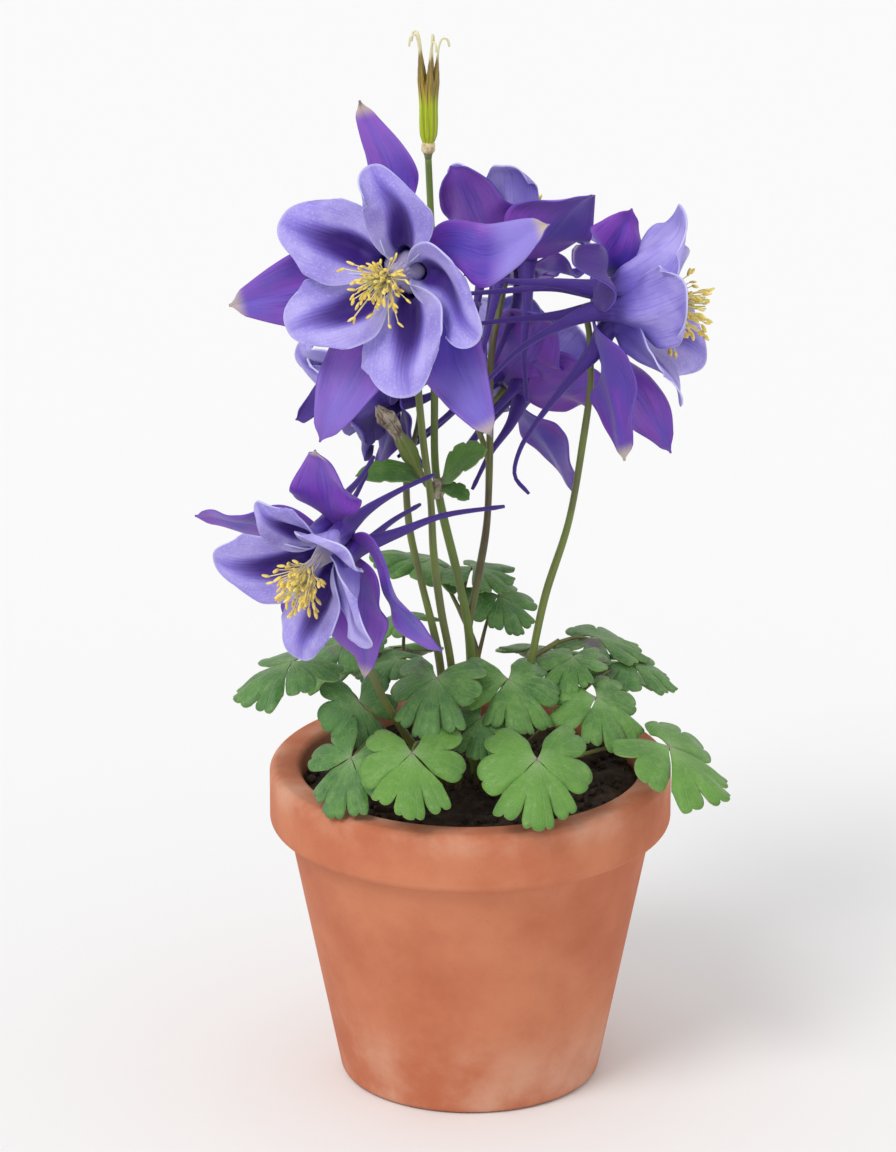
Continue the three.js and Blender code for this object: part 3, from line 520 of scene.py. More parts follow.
def petal_finishes(colours):
    """The face, the back and the edge of a petal."""
    made = []
    for side in ("face", "back"):
        f = Finish(f"petal_{side}", colours.petal_mid, 0.5, **VELVET)
        away, blade = abs(f.across * 2 - 1), f.along * 2 - 1
        streaks, fine, cloud = f.streaks(34, 2.6, 4, 0.6), f.streaks(110, 7, 3, 0.6), f.noise(90, 4)
        if side == "face":
            f.over(colours.petal_light, cloud.step(0.32, 0.68))
            f.over(colours.petal_deep, streaks.step(0.5, 0.74) * 0.32)
            f.over(colours.petal_deep, fine.step(0.52, 0.7) * 0.24)
            f.over(colours.petal_edge, f.noise(1500, 3, 0.7).step(0.5, 0.68) * 0.42)
            # The hollow is dark from the throat past the middle of the blade, and its end is rounded.
            reach = away * away * 2.4 + (blade + (streaks - 0.5) * 0.3)
            f.over(colours.petal_deep, reach.step(1.12, 0.8) * 0.75)
            f.over(colours.throat, reach.step(0.95, 0.62) * 0.97)
            f.over(colours.petal_edge, away.step(0.4, 0.8) * blade.step(0.5, 0.1) * 0.75)
            # Along the spur the face takes petal deep over the throat colour: painted light, lifting the
            # inside of the tube to stand in for light that passes through the thin petal.
            f.over(colours.petal_deep, blade.step(0.05, -0.05) * 0.9)
        else:
            f.over(colours.petal_light, cloud.step(0.35, 0.7))
            f.over(colours.petal_deep, streaks.step(0.48, 0.68) * 0.5)
            f.over(colours.petal_deep, blade.step(0.55, 0.2) * 0.6)
            f.over(colours.spur, (blade + streaks * 0.5).step(0.55, 0.1))
            f.over(rgb(98, 64, 168), fine.step(0.5, 0.72) * blade.step(0.1, -0.3) * 0.5)
        rim = f.math("MAXIMUM", away.step(0.955, 0.995), blade.step(0.975, 0.998)) * blade.step(0, 0.1)
        f.over(colours.petal_edge, rim * 0.55)
        # Painted shade: where the tone is below 0 the petal darkens towards the throat colour.
        f.over(colours.throat, f.mark("tone").step(0, -1) * 0.8)
        made.append(f.done(streaks * 0.55 + fine * 0.45, 0.6, 0.6))
    edge = Finish("petal_edge", colours.petal_edge, 0.5)
    # Painted shade on the rims of petals whose tone is below 0.
    edge.over(colours.petal_deep, edge.mark("tone").step(-0.3, -0.8))
    return [*made, edge.done(edge.noise(900), 0.1, 0.2)]


def sepal_finishes(colours):
    """The face, the back and the edge of a sepal."""
    made = []
    for side in ("face", "back"):
        f = Finish(f"sepal_{side}", colours.sepal_violet, 0.5, **VELVET)
        away = abs(f.across * 2 - 1)
        streaks, fine, patch = f.streaks(26, 2.2, 4, 0.6), f.streaks(90, 8, 3, 0.6), f.noise(42, 3, 0.5, 0.4)
        f.over(colours.sepal_magenta, (patch + f.mark("warm") * 0.14).step(0.44, 0.64))
        f.over(colours.sepal_magenta, away.step(0.6, 0.95) * 0.6)
        f.over(colours.sepal_blue, away.step(0.5, 0.05) * streaks.step(0.4, 0.6) * 0.5)
        f.over(colours.sepal_dark, streaks.step(0.52, 0.68) * 0.6)
        f.over(colours.sepal_dark, fine.step(0.52, 0.68) * 0.35)
        f.over(colours.petal_mid, (f.along + patch * 0.4).step(0.68, 0.95) * f.mark("tone") * 0.9)
        f.over(colours.spur, f.along.step(0.36, 0.06) * 0.75)
        if side == "back":
            f.over(colours.sepal_dark, 0.18)
        # Painted shade: where the tone is below 0 the sepal darkens towards the throat colour.
        f.over(colours.throat, f.mark("tone").step(0, -1) * 0.95)
        # The tip dries pale, with dark spots at its very end.
        ragged, spent = f.along + (streaks - 0.5) * 0.12, f.mark("spent")
        f.over(colours.spent, ragged.step(0.9, 0.97) * spent)
        f.over(rgb(30, 20, 34), ragged.step(0.965, 0.99) * spent * patch.step(0.45, 0.6))
        made.append(f.done(streaks * 0.65 + fine * 0.35, 0.5, 0.6))
    edge = Finish("sepal_edge", colours.sepal_violet, 0.5)
    return [*made, edge.done(edge.noise(900), 0.1, 0.2)]


def stamen_finishes(colours):
    thread = Finish("filament", colours.filament, 0.45)
    thread.over(rgb(240, 226, 160), thread.along.step(0.35, 0.85))
    anther = Finish("anther", colours.anther, 0.7)
    anther.over(rgb(226, 190, 84), anther.noise(700, 4).step(0.35, 0.7))
    style = Finish("style", rgb(205, 208, 150), 0.5)
    style.over(rgb(176, 190, 120), style.noise(500))
    return [thread.done(thread.noise(1500), 0.15, 0.1), anther.done(anther.noise(2600), 0.5, 0.15),
            style.done()]


def leaf_finishes(colours):
    """The upper side, the underside and the edge of a leaflet."""
    made = []
    for side in ("upper", "under"):
        f = Finish(f"leaf_{side}", colours.leaf_dark, 0.5, Sheen_Weight=0.1)
        tone, cloud = f.mark("tone"), f.noise(150, 6, 0.68)
        f.over(colours.leaf_mid, cloud.step(0.3, 0.7))
        f.over(colours.leaf_fresh, tone.step(-0.2, 0.9) * 0.85)
        f.over(colours.leaf_blue, tone.step(0.1, -0.9) * 0.6)
        f.over(colours.leaf_dark, f.noise(45, 2).step(0.45, 0.7) * 0.4)
        f.over(rgb(146, 180, 104), f.noise(320, 5, 0.75, 0.3).step(0.48, 0.68) * 0.3)
        # Veins run out from the base of the leaflet, and thin out towards its edge.
        bent = f.across + (f.noise(150, 2) - 0.5) * 0.03
        lane = 0.5 - abs(f.math("FRACT", bent * 7) - 0.5)
        veins = (lane * (f.along + 0.05)).step(0.035, 0.008)
        cells = f.add("ShaderNodeTexVoronoi", {"Vector": f.place(), "Scale": 620}, feature="DISTANCE_TO_EDGE")
        net = cells.step(0.09, 0)
        f.over(colours.leaf_vein, veins * 0.45)
        f.over(colours.leaf_vein, net * 0.16)
        f.over(colours.leaf_vein, f.along.step(0.4, 0) * 0.55)
        f.over(rgb(172, 150, 150), f.along.step(0.1, 0) * 0.7)
        f.over(rgb(92, 62, 84), f.noise(75, 2, 0.5, 0.6).step(0.69, 0.77) * 0.75)
        if side == "under":
            f.over(rgb(140, 165, 128), 0.45)
        made.append(f.done(cloud * 0.4 - veins * 0.8 - net * 0.25, 0.55, 0.5))
    edge = Finish("leaf_edge", rgb(128, 160, 86), 0.5)
    return [*made, edge.done(edge.noise(700), 0.1, 0.2)]


def stem_finish(colours):
    f = Finish("stem", colours.stem_green, 0.45)
    f.over(colours.stem_brown, f.noise(60).step(0.35, 0.65))
    f.over(rgb(82, 70, 52), f.streaks(10, 14, 4).step(0.5, 0.7) * 0.5)
    f.over(rgb(92, 126, 46), f.mark("tone").step(0, 1) * 0.9)
    f.over(rgb(56, 56, 30), f.mark("tone").step(0, -1) * 0.85)
    return f.done(f.noise(900), 0.3, 0.25)


def seed_finishes(colours):
    pod = Finish("follicle", colours.seed, 0.35)
    stripes, ribs = pod.streaks(9, 1.2, 3, 0.6), pod.streaks(22, 1.6, 2, 0.5)
    pod.over(rgb(150, 168, 20), stripes.step(0.42, 0.62))
    pod.over(rgb(96, 108, 12), ribs.step(0.5, 0.6) * 0.55)
    ripe = pod.mix(ribs.step(0.42, 0.56), rgb(184, 146, 66), rgb(84, 72, 28))
    pod.over(ripe, (pod.along + (stripes - 0.5) * 0.5).step(0.3, 0.46) * 0.9)
    pod.over(rgb(108, 84, 92), pod.along.step(0.54, 0.66) * ribs.step(0.5, 0.6) * 0.7)
    pod.over(rgb(226, 220, 176), pod.along.step(0.69, 0.76))
    ring = Finish("receptacle", rgb(232, 216, 176), 0.7)
    ring.over(rgb(196, 172, 122), ring.noise(900).step(0.35, 0.65))
    ring.over(rgb(122, 128, 84), ring.along.step(0.42, 0.3))
    return [pod.done(stripes, 0.4, 0.3), ring.done(ring.noise(1200), 0.4, 0.2)]


def bud_finish():
    f = Finish("withered", rgb(104, 132, 52), 0.8)
    streaks = f.streaks(18, 2, 4, 0.65)
    f.over(rgb(136, 142, 84), streaks.step(0.35, 0.65))
    f.over(rgb(150, 134, 110), f.along.step(0.16, 0.02) * 0.7)
    dry = f.mix(f.noise(420, 5, 0.7, 0.6).step(0.36, 0.6), rgb(112, 94, 84), rgb(198, 184, 160))
    dry = f.mix(streaks.step(0.55, 0.7) * 0.8, dry, rgb(78, 62, 54))
    f.over(dry, (f.along + (streaks - 0.5) * 0.3).step(0.52, 0.64))
    return f.done(streaks, 0.8, 0.6)


def clay_finish(colours):
    f = Finish("clay", colours.clay, 0.85)
    grain, cloud = f.noise(1400, 4, 0.65), f.noise(28, 5, 0.6)
    rings = f.noise(1, 2, at=f.add("ShaderNodeMapping", {0: f.place(), 3: (6, 6, 420)}))
    height = f.add("ShaderNodeSeparateXYZ", {0: f.place()}, 2)
    f.over(colours.clay_pale, cloud.step(0.3, 0.7))
    f.over(rgb(142, 76, 50), grain.step(0.6, 0.75) * 0.35)
    # Lime from the water dries pale on the lower wall and along the rim.
    lime = height.step(0.03, 0.004) + height.step(0.079, 0.088)
    f.over(rgb(222, 190, 168), lime * cloud.step(0.4, 0.66) * 0.4)
    return f.done(grain * 0.35 + rings * 0.65, 0.35, 0.5)


def soil_finish(colours):
    f = Finish("soil", colours.soil, 0.95)
    cloud = f.noise(260, 6, 0.7)
    f.over(rgb(78, 58, 42), cloud.step(0.35, 0.68))
    f.over(rgb(120, 98, 72), f.noise(620).step(0.66, 0.74) * 0.6)
    return f.done(cloud, 0.9, 0.9)


# Pieces


def own_values(bloom, kind, i):
    """Looks up the values of one petal or sepal by their names."""
    return lambda name, usual=0: bloom.get(f"{kind}_{name}", (usual,) * 5)[i]


def cubic(a, b, c, d, t):
    """A point of a Bezier line in a plane, and the way on from it."""
    s = 1 - t
    place = a * s ** 3 + b * 3 * s * s * t + c * 3 * s * t * t + d * t ** 3
    way = (b - a) * s * s + (c - b) * 2 * s * t + (d - c) * t * t
    return place, way.normalized()


def spur_route(bloom, i):
    """The line of a spur in its petal's own plane: (out, aside, along the bloom's axis)."""
    out, aside, along = bloom["spur_ends"][i]
    usual = ((5.2, 0, -4.2),
             (mix(6.5, out, 0.2), 0.12 * aside, 0.36 * along),
             (mix(6, out, 0.5), 0.45 * aside, 0.68 * along))
    return Route([(4.9, 0, -0.6), *bloom.get("spur_via", {}).get(i, usual), (out, aside, along)], (1, 0, 0))


# How far behind a bloom's throat its stem straightens, unless the stem's own neck says so, and ends.
NECK, STEM_END = 16, 5.2
# The radius of a spur along its length, from its mouth to past the small bulb near its end.
SPUR = ((0, 2.72), (0.06, 2.7), (0.16, 2.05), (0.3, 1.3), (0.45, 0.86), (0.6, 0.6), (0.9, 0.34),
        (0.955, 0.46), (1, 0.3))
# A petal's sheet at its mouth: the arc that it is rolled to, in degrees, and its width round that arc.
MOUTH_ARC, MOUTH_SPAN = 288, 13.7


def lay_petal(bm, bloom, i, sizes):
    """A petal: one sheet, cupped in its blade and rolled to a tube in its spur."""
    turn = bloom["turn"] + 72 * i
    own = own_values(bloom, "petal", i)
    swing, curve, curl, girth = own("swing"), own("curve"), own("curl"), own("girth", 1)
    lift, reach = radians(own("lift", 24)), own("reach", 35)
    draw = random.Random(f"{bloom['at']} petal {i}")
    phase, ripple, hollow = draw.uniform(0, 6), draw.uniform(0.7, 1.3), draw.uniform(2.2, 3.4)
    mouth = Vector((7.6, -0.7))
    back = (
        mouth,
        mouth + Vector((0.4, 4.8)),
        Vector((0.62 * reach * cos(lift) - 3 * sin(lift),
                0.62 * reach * sin(lift) + 3 * cos(lift))),
        Vector((reach * cos(lift), reach * sin(lift))),
    )
    route = spur_route(bloom, i)
    columns, blade_rows, spur_rows = 22, 34, 44 if i in bloom.get("spur_via", {}) else 24
    width = sizes.petal_width / MM * bloom.get("petal_width", 1) * own("span", 1)

    def on_blade(a, share):
        reached = share * (1 - 0.25 * abs(a) ** 2.4 * share ** 3)
        line, way = cubic(*back, reached)
        arc = radians(mix(MOUTH_ARC, 62, smooth(share, 0, 0.52)))
        span = mix(MOUTH_SPAN, width, smooth(share, 0.06, 0.6)) * (1 - 0.2 * smooth(share, 0.74, 1))
        radius, angle = span / arc, a * arc / 2
        sag = radius * (1 - cos(angle))
        side = radius * sin(angle)
        tilt = radians(12) * smooth(reached, 0.1, 0.5)
        inward = sag * cos(tilt) + side * sin(tilt)
        aside = side * cos(tilt) - sag * sin(tilt)
        trough = exp(-((a / 0.26) ** 2)) * smooth(share, 0.06, 0.3) * (1 - smooth(share, 0.45, 0.85))
        rolled = abs(a) ** 3 * smooth(share, 0.3, 0.8)
        wave = abs(a) ** 2 * sin(7.5 * share + phase + 1.5 * a) * smooth(share, 0.3, 0.7)
        inward += -hollow * trough - 1.9 * rolled + 0.9 * ripple * wave
        inward -= 2.2 * smooth(share, 0.8, 1.0) ** 1.5 * (0.6 + 0.4 * sin(phase + 3 * a))
        if curl:
            corner = smooth(a * copysign(1, curl), 0.1, 1.0) * smooth(share, 0.55, 1.0)
            inward += abs(curl) * corner
            aside -= curl * 0.35 * corner * corner
        lean = swing * smooth(reached, 0.3, 1) + curve * smooth(reached, 0.62, 1)
        return spot(turn + lean, line.x - way.y * inward, line.y + way.x * inward, aside)

    def on_spur(a, share):
        radius = mix(*between(SPUR, share)) * mix(1, girth, smooth(share, 0.2, 0.6))
        arc = radians(mix(MOUTH_ARC, 360, smooth(share, 0.0, 0.1)))
        centre, way, out = route.at(share)
        round_it = way.cross(out)
        angle = a * arc / 2
        place = centre + (out * cos(angle) - round_it * sin(angle)) * radius
        return spot(turn, place.x, place.z, place.y)

    def place(across, row):
        a = 1 - 2 * across
        if row == 0:
            tip = route.at(1)[0]
            return spot(turn, tip.x, tip.z, tip.y), (across, 0.0)
        if row <= spur_rows:
            share = 1 - (row - 1) / (spur_rows - 1)
            return on_spur(a, share ** 1.35), (across, 0.5 * (1 - share))
        share = (row - spur_rows) / blade_rows
        share = 1 - (1 - share) ** 1.15
        return on_blade(a, share), (across, 0.5 + 0.5 * share)

    # The tone mark carries the painted shade of the bloom and of the petal.
    made = skin(bm, columns, spur_rows + blade_rows, place, tone=bloom.get("tone", 0) + own("tone"))
    close(bm, made[:(columns + 1) * (spur_rows - 3)], 2e-3)


def lay_sepal(bm, bloom, i, sizes):
    """A sepal: a narrow claw between two spurs, then a folded blade with a drawn-out tip."""
    turn = bloom["turn"] + 36 + 72 * i
    own = own_values(bloom, "sepal", i)
    swing, curve, bend = own("swing"), own("curve"), own("bend")
    lift, reach = radians(own("lift", 7)), own("reach", 48)
    draw = random.Random(f"{bloom['at']} sepal {i}")
    phase, hook = draw.uniform(0, 6), draw.uniform(-1, 3)
    twist = radians(draw.uniform(-12, 12) + own("twist"))
    level = -4.75
    middle = (
        Vector((1.5, level)),
        Vector((0.35 * reach, level)),
        Vector((0.6 * reach * cos(lift), level + 0.6 * reach * sin(lift) + 1.5)),
        Vector((reach * cos(lift), level + reach * sin(lift))),
    )
    rows, claw = 44, 2.2
    width = sizes.sepal_width / MM * own("span", 1)

    def place(across, row):
        a = 2 * across - 1
        share = 1 - (1 - row / rows) ** 1.1
        line, way = cubic(*middle, share)
        body = smooth(share, 0.08, 0.46) * (1 - smooth(share, 0.5, 1.03)) ** 0.6
        span = claw + (width - claw) * body * 1.06
        span *= mix(1, 0.12, smooth(share, 0.93, 1))
        side = -a * span / 2
        fold = 0.14 * span * abs(a) ** 1.4 * smooth(share, 0.15, 0.4)
        fold += 0.14 * span * abs(a) * sin(9 * share + phase + 2 * a) * smooth(share, 0.25, 0.6)
        fold += 0.035 * span * abs(a) ** 3 * sin(21 * share + 2 * phase + 3 * a) * smooth(share, 0.3, 0.5)
        fold -= 0.05 * span * abs(a) ** 4
        fold += hook * smooth(share, 0.82, 1.0) ** 2
        turned = twist * smooth(share, 0.2, 1.0)
        side, fold = side * cos(turned) - fold * sin(turned), (
            side * sin(turned) + fold * cos(turned))
        along = line.y + way.x * fold + bend * smooth(share, 0.45, 1) ** 2
        lean = swing * smooth(share, 0.1, 0.6) + curve * smooth(share, 0.55, 1)
        return spot(turn + lean, line.x - way.y * fold, along, side), (across, share)

    spent = bloom.get("sepal_spent", (0.5, 0, 0, 0.4, 0))[i]
    # The tone mark carries the bloom's painted shade, with the sepal's own pale added.
    skin(bm, 18, rows, place, tone=bloom.get("tone", 0) + own("pale", 0.3), spent=spent, warm=own("warm"))


def lay_stamens(bm, bloom, sizes):
    """Pale threads pressed together as a column, then fanning out, each with a yellow anther."""
    draw = random.Random(f"{bloom['at']} stamens")
    count, golden, fan_angle = sizes.stamens, 137.5, 27
    length = bloom.get("stamen", 1.0)
    sag = (bloom_matrix(bloom).to_3x3().inverted() @ Vector((0, 0, -1))) * 2.4 * length
    column = Route([Vector((0, 0, -1)), Vector((0, 0, 4 * length)), Vector((0, 0, 9 * length)) + sag * 0.1])
    sections = [(0, 3.0), (0.2, 2.9), (0.35, 2.5), (0.6, 1.95), (0.85, 1.45), (1, 0.8)]
    sweep(bm, column, sections, 48, ridge=0.08, ridges=15)
    cushion = ((-4.2, 0), (-4, 3.2), (-3.4, 4.9), (-2.6, 5.3), (-1.7, 4.6),
               (-0.7, 3.7), (0.5, 3.1), (2, 2.6), (2.2, 0))

    def place(around, row):
        level, radius = cushion[row]
        lobe = cos(radians(5 * (360 * around - bloom["turn"])))
        ribs = cos(radians(45 * 360 * around)) if row < 7 else 0
        radius *= 1 + 0.12 * lobe * smooth(radius, 2.8, 4.5) + 0.02 * ribs
        return spot(360 * around, radius, level), (around, 0.0)

    close(bm, skin(bm, 90, len(cushion) - 1, place))
    for i in range(count):
        ring = sqrt((i + 0.5) / count)
        turn = i * golden + draw.uniform(-14, 14)
        fan = radians(fan_angle) * ring * draw.uniform(0.4, 1.2)
        reach = (draw.uniform(15.0, 21.0) - 2.4 * ring) * length
        if draw.random() < 0.12:
            reach *= 0.78
        knee = spot(turn, 0.4 + 1.1 * ring, draw.uniform(8.5, 10.5) * length)
        tip = spot(turn + draw.uniform(-16, 16), 0.5 + reach * sin(fan), reach * cos(fan))
        tip += sag * ring * draw.uniform(0.3, 2.0)
        route = Route([spot(turn, 0.5 + 1.7 * ring, 0.2), spot(turn, 0.45 + 1.4 * ring, 4 * length), knee,
                       knee.lerp(tip, 0.55) + spot(turn, 0, 0.6), tip])
        sweep(bm, route, [(0, 0.27), (0.3, 0.25), (0.55, 0.2), (0.72, 0.17), (0.86, 0.15), (1, 0.15)], 5)
        _, way, side = route.at(1)
        lean = (way + side * draw.uniform(-0.7, 0.7) + way.cross(side) * draw.uniform(-0.7, 0.7)).normalized()
        shape = lean.to_track_quat("Z", "Y").to_matrix().to_4x4()
        size = draw.uniform(0.85, 1.2)
        shape.translation = tip + lean * 0.8 * size
        shape = shape @ Matrix.Diagonal((0.38 * size, 0.5 * size, 1.24 * size, 1))
        start = len(bm.faces)
        bmesh.ops.create_uvsphere(bm, u_segments=8, v_segments=7, radius=1, matrix=shape)
        paint(bm, start, 1)
    start = len(bm.faces)
    for i in range(5):
        foot, top = spot(72 * i, 0.4, 1), spot(72 * i + 20, 1.6, 19.6 * length) + sag * 0.3
        sweep(bm, Route([foot, foot.lerp(top, 0.5) + spot(72 * i, 0.4, 0), top]), taper(0.42, 0.2, 5), 6)
    paint(bm, start, 2)


def leaf_matrix(group):
    """Places a leaf group: its middle leaflet along Y, its upper side to Z."""
    at, heading, droop = group[:3]
    forward = direction(heading, -droop)
    right = forward.cross(Vector((0, 0, 1))).normalized()
    return frame_matrix(right, forward, right.cross(forward), at)


SIDE_TURN = 103  # From the middle leaflet of a group to a side one, in degrees
# A leaflet is a fan of rounded lobes, three in a middle leaflet and two in a side one. Its outline is a row
# of round teeth between notches: (the notch's share of the fan's half angle, its depth).
MIDDLE = {"half": 47, "lobes": (0.0, 0.66), "cleft": 0.34375, "notches": (
    (-1, 0), (-0.65625, 0.075), (-0.34375, 0.25), (-0.125, 0.06),
    (0.125, 0.06), (0.34375, 0.25), (0.65625, 0.075), (1, 0))}
SIDE = {"half": 57, "lobes": (0.5, 0.5), "cleft": 0.0, "notches": (
    (-1, 0), (-0.53125, 0.085), (0, 0.24), (0.53125, 0.085), (1, 0))}


def lay_leaflets(bm, group, seed):
    """A leaf group: three fans of rounded lobes, creased along their veins, waved and drooping."""
    reach, tone = group[3], group[5]
    draw = random.Random(f"leaf {seed}")
    matrix = leaf_matrix(group)
    columns, rows = 64, 12
    cups = draw.uniform(-0.1, 0.14)
    for turn in (-SIDE_TURN, 0, SIDE_TURN):
        kind = SIDE if turn else MIDDLE
        size = reach * (0.88 if turn else 1.04) * draw.uniform(0.94, 1.06)
        half, lobes, cleft = kind["half"] * draw.uniform(0.94, 1.06), kind["lobes"], kind["cleft"]
        phase, droop = draw.uniform(0, 6), draw.uniform(0.3, 1.4)
        notches = [(at, depth * draw.uniform(0.65, 1.35)) for at, depth in kind["notches"]]
        skew, turn = draw.uniform(-0.08, 0.08), turn + draw.uniform(-5, 5)

        def lobe_at(t):
            return lobes[0] if abs(t) < cleft else lobes[1]

        def broad(t):
            value = 1.0 - 0.1 * ((abs(t) - lobe_at(t)) / 0.36) ** 2 - 0.13 * lobe_at(t) + skew * t
            return value * (1 - 0.3 * smooth(abs(t), 0.8, 1.0) ** 1.3)

        def tooth(t):
            (start, low), (stop, high) = next(
                pair for pair in zip(notches, notches[1:]) if t <= pair[1][0])
            u = (t - start) / (stop - start)
            return mix(low, high, u) * (1 - sqrt(max(0.0, 1 - (2 * u - 1) ** 2)))

        def place(across, row):
            t = 1 - 2 * across
            r = row / rows
            angle = radians(turn + t * half * mix(0.86, 1, smooth(r, 0, 0.75)))
            out = r * broad(t) * (1 - tooth(t) * smooth(r, 0.4, 1.0)) * size
            crease = exp(-abs(abs(t) - lobe_at(t)) / 0.05) * (1 - 0.7 * r)
            rise = -0.1 - 0.07 * abs(t) - 0.014 * crease
            rise += 0.018 * smooth(r, 0.2, 0.9) * cos(2 * pi * t / 0.6875)
            rise += (0.07 * sin(3.2 * t + phase) + cups * abs(t)) * smooth(r, 0.3, 1.0)
            rise -= 0.13 * smooth(r, 0.45, 1.0) ** 1.5 * droop
            return matrix @ Vector((-out * sin(angle), out * cos(angle), out * rise)), (across, r)

        close(bm, skin(bm, columns, rows, place, tone=tone + draw.uniform(-0.2, 0.2)), 1e-3)


def rooted(foot):
    """The first two points of a stem or a stalk: down in the soil, and a little further out just above it."""
    x, y = foot
    deep, above, lean = 10, 2, 1.04
    return [(x, y, SOIL_LEVEL - deep), (lean * x, lean * y, SOIL_LEVEL + above)]


def lay_stalks(bm, frond, sizes):
    """A leaf stalk from the soil to its last fork, and a thinner stalk from a fork to each leaf group."""
    foot, forks = frond["foot"], frond["forks"]
    thick = sizes.stalk_radius / MM
    route = Route([*rooted(foot), *forks])
    sweep(bm, route, [(s, r * (1 + 0.5 * exp(-s / 0.05))) for s, r in taper(thick, thick * 0.8, 26)], 10)
    for group in frond["groups"]:
        at, _, _, reach, index, tone = group
        start = Vector(forks[index])
        before = Vector(forks[index - 1]) if index else Vector(rooted(foot)[1])
        end = Vector(at)
        lead = start.lerp(before, 1.2 / (start - before).length)
        matrix = leaf_matrix(group)
        under = matrix @ Vector((0, -0.5, -0.8))
        rib = matrix @ Vector((0, 0.24 * reach, -0.03 * reach - 0.3))
        bow = start.lerp(under, 0.5) + Vector((0, 0, 0.07 * (end - start).length))
        sweep(bm, Route([lead, bow, under, rib]), taper(thick * 0.66, 0.3, 18), 8, 0.25 + 0.3 * tone)
        for turn in (-SIDE_TURN, SIDE_TURN):
            t, out = radians(turn), 0.2 * reach
            vein = matrix @ Vector((-out * sin(t), out * cos(t), -0.03 * reach - 0.25))
            sweep(bm, Route([under, matrix @ Vector((0, 0, -0.5)), vein]), taper(0.45, 0.2, 6), 6, 0.3)


def lay_stem(bm, points, start, stop, steps, tone=0.0):
    """A flower stem, which swells and narrows a little on its way up."""
    phase = random.Random(f"stem {points[0]}").uniform(0, 6)
    shares = [i / steps for i in range(steps + 1)]
    sections = [(s, mix(start, stop, s ** 0.55) * (1 + 0.05 * sin(23 * s + phase))) for s in shares]
    sweep(bm, Route(points), sections, 14, tone)


def neck(name, length=NECK):
    """The last points of a stem, straight behind its bloom."""
    bloom = BLOOMS[name]
    axis = direction(bloom["azimuth"], bloom["elevation"])
    return [Vector(bloom["at"]) - axis * behind for behind in (length, STEM_END)]


def lay_bract(bm, bract, seed):
    """A small stem leaf: a pointed blade with a few teeth, folded along its middle and waved at its sides."""
    start, stop, width, broad, teeth, tone = bract
    start, stop = Vector(start), Vector(stop)
    reach = stop - start
    forward = reach.normalized()
    right = forward.cross(Vector((0, -0.6, 1))).normalized()
    up = right.cross(forward)
    rows = 56

    def place(across, row):
        a = 2 * across - 1
        share = row / rows
        span = 1.0 + width * sin(pi * share ** broad) ** 0.75
        notch = smooth(abs(sin(teeth * pi * share + seed + 0.4 * (a > 0))), 0.6, 0.0)
        span *= 1 - 0.2 * notch * smooth(share, 0.3, 0.5)
        span *= mix(1, 0.1, smooth(share, 0.94, 1))
        rise = 0.1 * span * abs(a) + 1.6 * sin(pi * share)
        rise += 0.06 * span * abs(a) * sin(8 * share + seed + 2 * a)
        return start + reach * share + right * a * span / 2 + up * rise, (across, share)

    skin(bm, 14, rows, place, tone=tone)


# The radius of a follicle along its line, and the line: (out from the middle, share of the follicle's length,
# share of its style's height, share of the style's swerve).
FOLLICLE = (
    (0, 0.7), (0.03, 1.0), (0.08, 1.2), (0.2, 1.27), (0.35, 1.25), (0.5, 1.12), (0.58, 0.86),
    (0.65, 0.56), (0.71, 0.34), (0.76, 0.29), (0.85, 0.28), (0.93, 0.29), (0.98, 0.32), (1, 0.26))
FOLLICLE_LINE = (
    (0.6, 0, 0, 0), (1.15, 0.12, 0, 0), (1.25, 0.48, 0, 0), (1.95, 0.74, 0, 0), (2.5, 1, 0, 0),
    (2.8, 1, 0.5, 0.2), (3.7, 1, 0.95, 0.6), (4.9, 1, 0.9, 1), (5.5, 1, 0.5, 1.1))


def lay_seed_head(bm):
    """Slim ribbed follicles joined on a pale ring, each with a long beak and a curled style."""
    base, foot, length, style = Vector(SEED["at"]), SEED["foot"], SEED["length"], SEED["style"]
    draw = random.Random("seed head")
    for i in range(5):
        turn = 72 * i - 6
        curl, swerve = draw.uniform(0.8, 1.15), draw.uniform(-1.2, 1.2)
        route = Route([
            base + spot(turn, out, foot + share * length + rise * style * curl, aside * swerve)
            for out, share, rise, aside in FOLLICLE_LINE])
        sweep(bm, route, finer(FOLLICLE, 3, lambda share: smooth(share, 0, 1)), 28, ridge=0.09, ridges=7)
    start = len(bm.faces)
    stub = Route([base - Vector((0, 0, 0.3)), base + Vector((0, 0, foot + 0.5))])
    sweep(bm, stub, [(0, 0.9), (0.2, 1.05), (0.34, 1.35), (0.42, 1.72), (0.6, 1.8), (0.82, 1.74), (0.95, 1.5),
                     (1, 1.2)], 40, ridge=0.035, ridges=10)
    paint(bm, start, 1)


